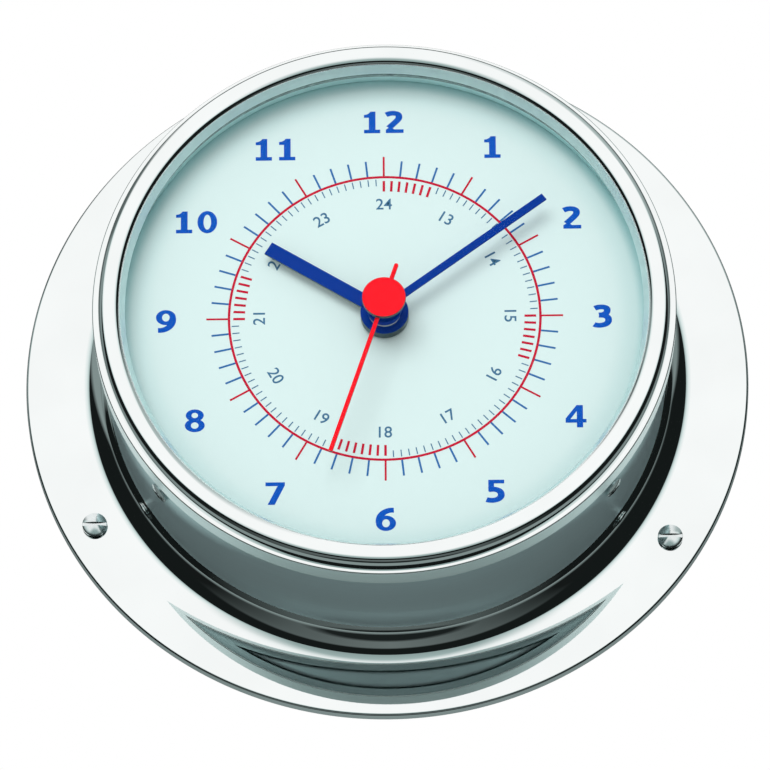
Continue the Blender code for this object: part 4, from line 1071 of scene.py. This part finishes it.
def numeral(text, size, weight):
    """A numeral of the built-in type as a mesh one unit thick, its middle at the origin."""
    curve = bpy.data.curves.new("numeral", "FONT")
    curve.body = text
    curve.align_x = "CENTER"
    curve.offset = weight
    curve.extrude = 0.5
    writer = in_scene("numeral", curve)
    mesh = evaluated_mesh(writer)
    bpy.data.objects.remove(writer, do_unlink=True)
    bpy.data.curves.remove(curve)
    xs = [corner.co.x for corner in mesh.vertices]
    ys = [corner.co.y for corner in mesh.vertices]
    middle = Vector(((min(xs) + max(xs)) / 2, (min(ys) + max(ys)) / 2, 0.0))
    mesh.transform(Matrix.Scale(size, 4) @ Matrix.Translation(-middle))
    return mesh


def day_numerals(labels, finish, sizes):
    """Fine printed numerals; each label is (text, x, y, turn)."""
    middle = front_z("dial_plate") + sizes.print_height / 2
    thin = Matrix.Diagonal((1.0, 1.0, sizes.print_height / sizes.day_size, 1.0))
    shape = bmesh.new()
    for text, x, y, turn in labels:
        mesh = numeral(text, sizes.day_size, sizes.day_weight)
        mesh.transform(Matrix.Translation((x, y, middle)) @ Matrix.Rotation(-turn, 4, "Z") @ thin)
        shape.from_mesh(mesh)
        bpy.data.meshes.remove(mesh)
    bmesh.ops.remove_doubles(shape, verts=shape.verts, dist=ON_AXIS)
    printed("day_numerals", shape, finish)


class CLOCK_OT_print(bpy.types.Operator):
    """Print the dial: ring, ticks, hours 1 to 12 and hours 13 to 24"""

    bl_idname = "clock.print"
    bl_label = "Dial print"

    def execute(self, context):
        sizes = context.scene.clock_dial
        colours = context.scene.clock_finishes
        blue, red, grey, steel_blue = (
            printed_ink(name, getattr(colours, name)) for name in ("blue_ink", "red_ink", "grey_ink", "tick_ink")
        )
        ring_in = sizes.ring_radius - sizes.ring_width / 2
        ring_out = sizes.ring_radius + sizes.ring_width / 2
        low = front_z("dial_plate")
        ring = washer(ring_out, ring_in, low, low + sizes.print_height, context.scene.clock_case.steps)
        printed("printed_ring", ring, red)
        minutes = [minute for minute in range(60) if minute % 5]
        zones = [start + step / 2 for start in ZONE_STARTS for step in range(ZONE_TICKS)]
        fine = [half / 2 for half in range(120) if half / 2 not in zones]
        ticks("hour_ticks", range(0, 60, 5), ring_out, sizes.hour_tick_end, sizes.tick_width, red, sizes)
        ticks("minute_ticks", minutes, ring_out, sizes.minute_tick_end, sizes.tick_width, steel_blue, sizes)
        ticks("fine_ticks", fine, sizes.fine_tick_end, sizes.fine_tick_start, sizes.fine_tick_width, grey, sizes)
        ticks("zone_ticks", zones, sizes.zone_tick_end, sizes.zone_tick_start, sizes.zone_tick_width, red, sizes)
        labels = []
        for hour in range(1, 13):
            x, y = circle_point(sizes.hour_circle, minute_angle(5 * hour))
            labels.append((str(hour), x, y - sizes.hour_drop))
        hour_numerals(labels, blue, sizes)
        labels = []
        for hour in range(13, 25):
            turn = minute_angle(5 * hour)
            upright = turn + math.pi if hour in FLIPPED_HOURS else turn
            labels.append((str(hour), *circle_point(sizes.day_circle, turn), upright))
        day_numerals(labels, grey, sizes)
        return {"FINISHED"}


def tailed_blade(tip, width, tail):
    """The outline of a blade along +y whose tail ends round."""
    half = width / 2
    end = [
        (half * math.cos(math.radians(turn)), half - tail - half * math.sin(math.radians(turn)))
        for turn in range(0, 181, 15)
    ]
    return [(half, tip), *end, (-half, tip)]


def paint_tops(mesh):
    """Faces that look out of the wall keep the first finish and the others take the second."""
    for face in mesh.polygons:
        face.material_index = 0 if -face.normal.y > OUTWARDS else 1


def hand(name, node, body, parts, finishes, turn, edge):
    """A hand of two solids in one mesh, turned to its place."""
    shape = bmesh.new()
    for part in parts:
        join_part(shape, part)
    mesh = to_mesh(name, shape, Matrix.Rotation(-turn, 4, "Z"))
    made = piece(name, mesh, finishes, body, [node])
    if len(finishes) > 1:
        paint_tops(mesh)
    rounded(made, edge)


class CLOCK_OT_hands(bpy.types.Operator):
    """Make the hour, minute and second hands and the red cap"""

    bl_idname = "clock.hands"
    bl_label = "Hands"

    def execute(self, context):
        sizes = context.scene.clock_hands
        colours = context.scene.clock_finishes
        navy = gloss_lacquer("navy_lacquer", colours.navy)
        red = gloss_lacquer("red_lacquer", colours.red)
        bare = cut_metal("cut_edge", colours.cut_metal)
        for name, finishes in (("hour", [navy, bare]), ("minute", [navy])):
            radius, bore, tip, width, turn = (
                getattr(sizes, name + "_" + size) for size in ("disc", "bore", "length", "width", "angle")
            )
            node = name + "_hand"
            low, high = heights(node)
            ring = washer(radius, bore, low, high, DISC_STEPS)
            half = width / 2
            root = math.sqrt(radius**2 - half**2) - sizes.blade
            bar = plate([(half, root), (half, tip), (-half, tip), (-half, root)], high - sizes.blade, high)
            hand(name + "_blade", node, node + "_body", [ring, bar], finishes, turn, sizes.edge)
        low, high = heights("second_hand")
        tube = disc(sizes.second_tube, low, high, TUBE_STEPS)
        bar = plate(
            tailed_blade(sizes.second_length, sizes.second_width, sizes.second_tail), high - sizes.blade, high
        )
        hand(
            "second_blade", "second_hand", "second_hand_body", [tube, bar], [red, bare],
            sizes.second_angle, sizes.edge
        )
        mesh = to_mesh("centre_cap", disc(reach("second_hand_cap"), *heights("second_hand_cap"), DISC_STEPS))
        made = piece("centre_cap", mesh, [red, bare], "second_hand_body", ["second_hand_cap"])
        paint_tops(mesh)
        rounded(made, 2 * sizes.edge, steps=3)
        return {"FINISHED"}


# Sides and rows for each turn of a screw's thread, and the half width of its blunt tip
THREAD_SIDES = 32
THREAD_ROWS = 10
FEWEST_ROWS = 8
TIP = 0.02 * MM
# The thread of the flange screws and of the side screws, as a share of the pitch and depth
COARSE = 1.0
FINE = 0.5
HEAD_STEPS = 12
# Share of a head's height that lies under its dome
HEAD_RIM = 0.5


def threaded_shank(radius, depth, pitch, long):
    """A shank from z = 0 along -z with a helical thread and a pointed tip."""
    rows = max(FEWEST_ROWS, int(THREAD_ROWS * long / pitch))
    shape = bmesh.new()
    rings = []
    for row in range(rows + 1):
        z = -long * row / rows
        taper = min(1.0, (z + long + TIP) / radius)
        ring = []
        for side in range(THREAD_SIDES):
            phase = (z / pitch + side / THREAD_SIDES) % 1.0
            crest = 1.0 - abs(2.0 * phase - 1.0)
            size = (radius - depth * (1.0 - crest)) * taper
            ring.append(shape.verts.new((*circle_point(size, math.tau * side / THREAD_SIDES), z)))
        rings.append(ring)
    for near, far in zip(rings, rings[1:]):
        bridge(shape, near, far)
    shape.faces.new(rings[0])
    shape.faces.new(rings[-1][::-1])
    bmesh.ops.recalc_face_normals(shape, faces=shape.faces)
    return shape


def screw_head(radius, height, slot_width, slot_depth):
    """A domed head with a slot along x, its underside at z = 0."""
    profile = dome(radius, HEAD_RIM * height, height, HEAD_STEPS)[::-1] + [(radius, 0.0), (0.0, 0.0)]
    half, end = slot_width / 2, 2 * radius
    slot = plate([(end, half), (end, -half), (-end, -half), (-end, half)], height - slot_depth, 2 * height)
    head = in_scene("head", settle("head", lathe(profile, TUBE_STEPS)))
    cutter = in_scene("slot", settle("slot", slot))
    cut = head.modifiers.new("slot", "BOOLEAN")
    cut.operation = "DIFFERENCE"
    cut.object = cutter
    mesh = evaluated_mesh(head)
    shape = bmesh.new()
    shape.from_mesh(mesh)
    for used in (head.data, cutter.data, mesh):
        bpy.data.meshes.remove(used)
    return shape


def screw(node, kind, fineness, place, finish, sizes):
    """A screw of one kind whose own z runs out of its head, put in its place."""
    radius, height, shank, long = (
        getattr(sizes, kind + size) for size in ("_head", "_head_height", "_shank", "_length")
    )
    shape = screw_head(radius, height, sizes.slot_width, sizes.slot_depth)
    join_part(shape, threaded_shank(shank, sizes.thread_depth * fineness, sizes.pitch * fineness, long))
    mesh = settle(node + "_finished", shape)
    made = in_scene(node + "_finished", mesh)
    mesh.materials.append(finish)
    mesh.shade_smooth()
    made.matrix_world = WALL_TURN @ place
    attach(made, "case")
    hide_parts(node)
    crisp(made, limit=30.0)


class CLOCK_OT_screws(bpy.types.Operator):
    """Make the slotted screws through the flange and through the drum's side"""

    bl_idname = "clock.screws"
    bl_label = "Screws"

    def execute(self, context):
        sizes = context.scene.clock_screws
        steel = turned_steel("screw_steel", context.scene.clock_finishes.screw_steel)
        seat = back_z("flange_screw_1") + sizes.flange_length
        for index in range(3):
            turn = sizes.flange_turn + math.tau * index / 3
            place = Matrix.Translation((*circle_point(sizes.flange_circle, turn), seat))
            screw("flange_screw_%d" % (index + 1), "flange", COARSE, place, steel, sizes)
        low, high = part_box("side_screw_1")
        height = -(low.y + high.y) / 2
        seat = context.scene.clock_case.drum_radius + context.scene.clock_bezel.clearance
        along = Vector((0.0, 0.0, 1.0))
        for index, turn in enumerate((0.0, sizes.side_angle, -sizes.side_angle)):
            outward = Vector((*circle_point(1.0, turn), 0.0))
            axes = Matrix((along.cross(outward), along, outward)).transposed().to_4x4()
            place = Matrix.Translation(seat * outward + height * along) @ axes
            screw("side_screw_%d" % (index + 1), "side", FINE, place, steel, sizes)
        return {"FINISHED"}


class CLOCK_OT_movement(bpy.types.Operator):
    """Finish the dial carrier, the movement's case and what clamps it"""

    bl_idname = "clock.movement"
    bl_label = "Movement case"

    def execute(self, context):
        sizes = context.scene.clock_movement
        colours = context.scene.clock_finishes
        black = moulded_plastic("black_plastic", colours.black_plastic, 0.42)
        grey = moulded_plastic("grey_plastic", colours.grey_plastic, 0.5)
        brass = brushed_metal("clamp_brass", colours.brass)
        edged_node("dial_carrier", grey, sizes.moulded_edge)
        edged_node("movement_housing", black, sizes.moulded_edge)
        edged_node("movement_cover", black, sizes.moulded_edge)
        edged_node("movement_nut", brass, sizes.stamped_edge)
        edged_node("movement_washer", brass, sizes.stamped_edge)
        return {"FINISHED"}


# Flat sides of the setting knob for each of its ridges
RIDGE_STEPS = 16


class CLOCK_OT_knob(bpy.types.Operator):
    """Make the ridged setting knob"""

    bl_idname = "clock.knob"
    bl_label = "Setting knob"

    def execute(self, context):
        sizes = context.scene.clock_movement
        low, high = heights("setting_knob")
        near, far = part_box("setting_knob")
        centre = Vector(((near.x + far.x) / 2, (near.z + far.z) / 2, 0.0))
        steps = RIDGE_STEPS * sizes.knob_ridges
        outline = []
        for step in range(steps):
            turn = math.tau * step / steps
            wave = 0.5 - 0.5 * math.cos(sizes.knob_ridges * turn)
            outline.append(circle_point(sizes.knob_radius - sizes.knob_ridge * (1.0 - wave), turn))
        floor = low + sizes.knob_hollow_depth
        shape = plate(outline, low, floor, [circle_points(sizes.knob_hollow, TUBE_STEPS)])
        join_part(shape, plate(outline, floor, high))
        acetal = white_acetal("knob_acetal", context.scene.clock_finishes.white_plastic)
        mesh = to_mesh("ridged_knob", shape, Matrix.Translation(centre))
        crisp(piece("ridged_knob", mesh, [acetal], "motion_body", ["setting_knob"]), limit=50.0)
        return {"FINISHED"}


class CLOCK_OT_wheels(bpy.types.Operator):
    """Finish the wheels and pinions of both trains and the plate between them"""

    bl_idname = "clock.wheels"
    bl_label = "Wheels"

    def execute(self, context):
        colours = context.scene.clock_finishes
        acetal = white_acetal("wheel_acetal", colours.white_plastic)
        brass = brushed_metal("wheel_brass", colours.brass)
        for node in ("hour_wheel", "motion_wheel", "third_wheel", "seconds_wheel", "intermediate_wheel"):
            finish_node(node, acetal)
        for node in ("cannon_pinion", "centre_wheel", "train_plate"):
            finish_node(node, brass)
        return {"FINISHED"}


class CLOCK_OT_motor(bpy.types.Operator):
    """Finish the motor and the circuit: rotor, yoke, bobbin, winding, board and crystal"""

    bl_idname = "clock.motor"
    bl_label = "Motor and circuit"

    def execute(self, context):
        sizes = context.scene.clock_movement
        colours = context.scene.clock_finishes
        nickel = brushed_metal("nickel_plate", colours.nickel, 0.18, 0.32)
        finish_node("rotor", nickel)
        edged_node("stator", nickel, sizes.stamped_edge)
        finish_node("coil_bobbin", white_acetal("bobbin_acetal", colours.white_plastic))
        finish_node("coil_winding", wound_copper("winding_copper", colours.copper))
        finish_node("circuit_board", phenolic_board("board_phenolic", colours.board))
        finish_node("crystal_can", nickel)
        edged_node("battery_contact_positive", nickel, sizes.stamped_edge)
        edged_node("battery_contact_negative", nickel, sizes.stamped_edge)
        return {"FINISHED"}


# Rounding of the cell's nub, and the steps of the nub's and the ends' rounding
NUB_EDGE = 0.3 * MM
NUB_STEPS = 4
CELL_STEPS = 6


class CLOCK_OT_cell(bpy.types.Operator):
    """Make the cell: a steel can with a nub, in a plain film"""

    bl_idname = "clock.cell"
    bl_label = "Cell"

    def execute(self, context):
        sizes = context.scene.clock_movement
        colours = context.scene.clock_finishes
        low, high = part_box("battery_cell")
        half = (high.x - low.x) / 2
        edge = sizes.cell_edge
        end = (high.z - low.z) / 2 - edge
        shoulder = half - sizes.cell_nub_length
        profile = [(0.0, half)]
        profile += arc(sizes.cell_nub - NUB_EDGE, half - NUB_EDGE, NUB_EDGE, 90.0, 0.0, NUB_STEPS)
        profile += [(sizes.cell_nub, shoulder)]
        profile += arc(end, shoulder - edge, edge, 90.0, 0.0, CELL_STEPS)
        profile += arc(end, edge - half, edge, 0.0, -90.0, CELL_STEPS)
        profile += [(0.0, -half)]
        along = Matrix.Rotation(math.pi / 2, 4, "Y")
        middle = Vector(((low.x + high.x) / 2, (low.z + high.z) / 2, -(low.y + high.y) / 2))
        mesh = to_mesh("dry_cell", lathe(profile, DISC_STEPS), Matrix.Translation(middle) @ along)
        film = shrink_film("cell_film", colours.jacket)
        steel = brushed_metal("cell_steel", colours.nickel, 0.15, 0.28)
        crisp(piece("dry_cell", mesh, [film, steel], "case", ["battery_cell"]))
        for face in mesh.polygons:
            face.material_index = 1 if abs(face.normal.x) > ENDWAYS or face.center.x > middle.x + shoulder else 0
        return {"FINISHED"}


# Stage


# What the metal mirrors, as stops of (value, level, warmth). The screen's value is 0 in its middle and 1 on its edge
SCREEN = (
    (0.00, 1.00, 1.0),
    (0.62, 1.00, 1.0),
    (0.84, 0.86, 0.6),
    (0.95, 0.62, 0.3),
    (0.99, 0.44, 0.1),
    (1.005, 0.01, 0.0),
    (1.60, 0.01, 0.0),
)
# Upwards, along the screen's lower part
FRINGE = ((-0.35, 0.36, 0.0), (0.0, 0.50, 0.1), (0.2, 0.85, 0.6))
# Left to right: the walls over the screen's sides, the carpet round it and the ceiling
WINGS = ((-1.0, 0.30, 0.2), (1.0, 0.26, 0.2))
CARPET = ((-0.8, 0.01, 0.2), (-0.45, 0.10, 0.2), (0.0, 0.17, 0.3), (0.4, 0.10, 0.2), (0.75, 0.01, 0.2))
CEILING = (
    (-0.80, 0.12, 0.2),
    (-0.60, 0.16, 0.2),
    (-0.42, 1.00, 1.0),
    (0.10, 1.00, 1.0),
    (0.35, 0.55, 0.4),
    (0.80, 0.30, 0.3),
)
# Upwards: what lies straight below, and the room behind the clock
BELOW = ((-1.0, 0.015, 0.0), (0.0, 0.015, 0.0))
BEHIND = ((-1.0, 0.30, 0.2), (0.0, 0.25, 0.2), (0.5, 0.12, 0.2))
# Ovals of directions, as (middle, size)
SCREEN_OVAL = ((-0.03, 0.3), (0.65, 0.64))
FRINGE_OVAL = ((-0.02, -0.40), (0.42, 0.62))
CARPET_OVAL = ((0.0, 0.3), (1.345, 0.95))
WING_SIDE = (-0.08, 0.41, 1.0)
# Values between which a part of the room comes in: none of it at the first, all of it at the second
FRINGE_IN = (1.0, 0.55)
SCREEN_IN = (1.0, 0.97)
WING_IN = (0.25, 0.33)
SCREEN_OUT = (1.0, 1.02)
CARPET_OUT = (0.99, 1.05)
BELOW_IN = (-0.90, -0.95)
CEILING_IN = (0.60, 0.64)
BEHIND_IN = (0.05, 0.2)
MIRRORED_STRENGTH = 1.06
SENSOR_WIDTH = 36.0
LAMP_WIDTH = 1.1
LAMP_HEIGHT = 0.9
LAMP_PLACE = Vector((-0.3, -1.45, 0.5))
FLOOR_HALF = 6.0
FLOOR_Z = -1.7


def tone(level, warmth):
    """A grey of the studio: teal where it is cool, neutral where it is warm."""
    return level * (0.74 + 0.26 * warmth), level * (0.97 + 0.03 * warmth), level * (0.95 + 0.05 * warmth)


class Room(Shading):
    """The world's node tree under construction."""

    def __init__(self, tree):
        super().__init__(tree)
        tree.nodes.clear()
        self.direction = self.node("TexCoord").outputs["Generated"]
        self.right, self.back, self.up = self.node("SeparateXYZ", {"Vector": self.direction}).outputs

    def tones(self, value, stops):
        """Studio greys along a value, from stops of (value, level, warmth)."""
        low, high = stops[0][0], stops[-1][0]
        greys = [((place - low) / (high - low), tone(level, warmth)) for place, level, warmth in stops]
        return self.ramp(self.spread(value, low, high), greys)

    def blend(self, share_of_over, under, over):
        return self.node("Mix", {0: share_of_over, 6: under, 7: over}, data_type="RGBA").outputs[2]

    def oval(self, middle, size):
        """Distance from the middle of an oval seen along -Y, 1 on its edge."""
        (x, z), (width, height) = middle, size
        where, scale = (-x / width, 0.0, -z / height), (1.0 / width, 0.0, 1.0 / height)
        flat = self.node("Mapping", {"Vector": self.direction, "Location": where, "Scale": scale})
        return self.distance(flat.outputs["Vector"])

    def along(self, vector):
        """How far the direction points along a vector."""
        return self.node("VectorMath", {0: self.direction, 1: vector}, operation="DOT_PRODUCT").outputs["Value"]

    def both(self, first, second):
        """A share that is 1 where each of two (value, low, high) is past its second bound."""
        product = self.node("Math", {0: self.spread(*first), 1: self.spread(*second)}, operation="MULTIPLY")
        return product.outputs["Value"]

    def background(self, colour=(1.0, 1.0, 1.0, 1.0), strength=1.0):
        return self.node("Background", {"Color": colour, "Strength": strength}).outputs["Background"]


def room_light(world, fill):
    """Sets the world: white behind the clock, and a lit screen in a dark room for the metal to mirror."""
    world.use_nodes = True
    room = Room(world.node_tree)
    edge = room.oval(*SCREEN_OVAL)
    lower = room.both((room.oval(*FRINGE_OVAL), *FRINGE_IN), (edge, *SCREEN_IN))
    seen = room.blend(lower, room.tones(edge, SCREEN), room.tones(room.up, FRINGE))
    sides = room.both((room.along(WING_SIDE), *WING_IN), (edge, *SCREEN_OUT))
    seen = room.blend(sides, seen, room.tones(room.right, WINGS))
    around = room.spread(room.oval(*CARPET_OVAL), *CARPET_OUT)
    seen = room.blend(around, seen, room.tones(room.right, CARPET))
    seen = room.blend(room.spread(room.up, *BELOW_IN), seen, room.tones(room.up, BELOW))
    seen = room.blend(room.spread(room.up, *CEILING_IN), seen, room.tones(room.right, CEILING))
    seen = room.blend(room.spread(room.back, *BEHIND_IN), seen, room.tones(room.up, BEHIND))
    rays = room.node("LightPath").outputs
    through = room.larger(rays["Is Camera Ray"], rays["Is Transmission Ray"])
    mirrored = room.background(seen, MIRRORED_STRENGTH)
    lit = room.choose(rays["Is Glossy Ray"], room.background(strength=fill), mirrored)
    room.node("OutputWorld", {"Surface": room.choose(through, lit, room.background())})


def aim_matrix(place, target, roll=0.0):
    """Puts a camera or lamp at a place so that it looks at a target."""
    back = (place - target).normalized()
    right = Vector((0.0, 0.0, 1.0)).cross(back).normalized()
    axes = Matrix((right, back.cross(right), back)).transposed().to_4x4()
    return Matrix.Translation(place) @ axes @ Matrix.Rotation(roll, 4, "Z")


class CLOCK_OT_stage(bpy.types.Operator):
    """Set the camera, the soft lamp, the room's light and the pale floor"""

    bl_idname = "clock.stage"
    bl_label = "Stage"

    def execute(self, context):
        studio = context.scene.clock_studio
        scene = context.scene
        scene.view_settings.view_transform = "Standard"
        aim = Vector(studio.aim)
        around = Vector((math.sin(studio.azimuth), -math.cos(studio.azimuth), 0.0)) * math.cos(studio.elevation)
        place = aim + studio.distance * (around + Vector((0.0, 0.0, math.sin(studio.elevation))))
        lens = bpy.data.cameras.new("camera")
        lens.lens = studio.lens
        lens.sensor_width = SENSOR_WIDTH
        lens.clip_start = 0.01
        lens.clip_end = 50.0
        camera = in_scene("camera", lens)
        camera.matrix_world = aim_matrix(place, aim, studio.roll)
        scene.camera = camera
        scene.world = bpy.data.worlds.new("room")
        room_light(scene.world, studio.fill)
        lamp = bpy.data.lights.new("soft_lamp", "AREA")
        lamp.shape = "RECTANGLE"
        lamp.size = LAMP_WIDTH
        lamp.size_y = LAMP_HEIGHT
        lamp.energy = studio.key_power
        key = in_scene("soft_lamp", lamp)
        key.matrix_world = aim_matrix(LAMP_PLACE, Vector((0.0, 0.0, 0.0)))
        key.visible_glossy = False
        key.visible_transmission = False
        floor_mesh = bpy.data.meshes.new("floor")
        corners = [(x * FLOOR_HALF, y * FLOOR_HALF, FLOOR_Z) for x, y in ((-1, -1), (1, -1), (1, 1), (-1, 1))]
        floor_mesh.from_pydata(corners, [], [(0, 1, 2, 3)])
        floor = in_scene("floor", floor_mesh)
        paint = Finish("floor_paint", (0.92, 0.93, 0.93), 0.0, 0.7)
        paint.vary_roughness(paint.noise(3.0), 0.65, 0.8)
        floor_mesh.materials.append(paint.material)
        floor.visible_glossy = False
        return {"FINISHED"}


class CLOCK_PT_dressing(bpy.types.Panel):
    bl_idname = "CLOCK_PT_dressing"
    bl_label = "Clock"
    bl_space_type = "VIEW_3D"
    bl_region_type = "UI"
    bl_category = "Clock"

    def draw(self, context):
        for operator in OPERATORS:
            self.layout.operator(operator.bl_idname)


OPERATORS = (
    CLOCK_OT_stage,
    CLOCK_OT_case,
    CLOCK_OT_bezel,
    CLOCK_OT_glass,
    CLOCK_OT_dial,
    CLOCK_OT_print,
    CLOCK_OT_hands,
    CLOCK_OT_screws,
    CLOCK_OT_movement,
    CLOCK_OT_knob,
    CLOCK_OT_wheels,
    CLOCK_OT_motor,
    CLOCK_OT_cell,
)
SETTINGS = (
    ("clock_case", CaseSizes),
    ("clock_bezel", BezelSizes),
    ("clock_glass", GlassSizes),
    ("clock_dial", DialSizes),
    ("clock_hands", HandSizes),
    ("clock_screws", ScrewSizes),
    ("clock_movement", MovementSizes),
    ("clock_finishes", Finishes),
    ("clock_studio", StudioSettings),
)


def register():
    for name, group in SETTINGS:
        bpy.utils.register_class(group)
        setattr(bpy.types.Scene, name, PointerProperty(type=group))
    for operator in OPERATORS:
        bpy.utils.register_class(operator)
    bpy.utils.register_class(CLOCK_PT_dressing)


def unregister():
    bpy.utils.unregister_class(CLOCK_PT_dressing)
    for operator in reversed(OPERATORS):
        bpy.utils.unregister_class(operator)
    for name, group in reversed(SETTINGS):
        delattr(bpy.types.Scene, name)
        bpy.utils.unregister_class(group)


def main():
    register()
    bpy.ops.clock.stage()
    bpy.ops.clock.case()
    bpy.ops.clock.bezel()
    bpy.ops.clock.glass()
    bpy.ops.clock.dial()
    bpy.ops.clock.print()
    bpy.ops.clock.hands()
    bpy.ops.clock.screws()
    bpy.ops.clock.movement()
    bpy.ops.clock.knob()
    bpy.ops.clock.wheels()
    bpy.ops.clock.motor()
    bpy.ops.clock.cell()


if __name__ == "__main__":
    main()
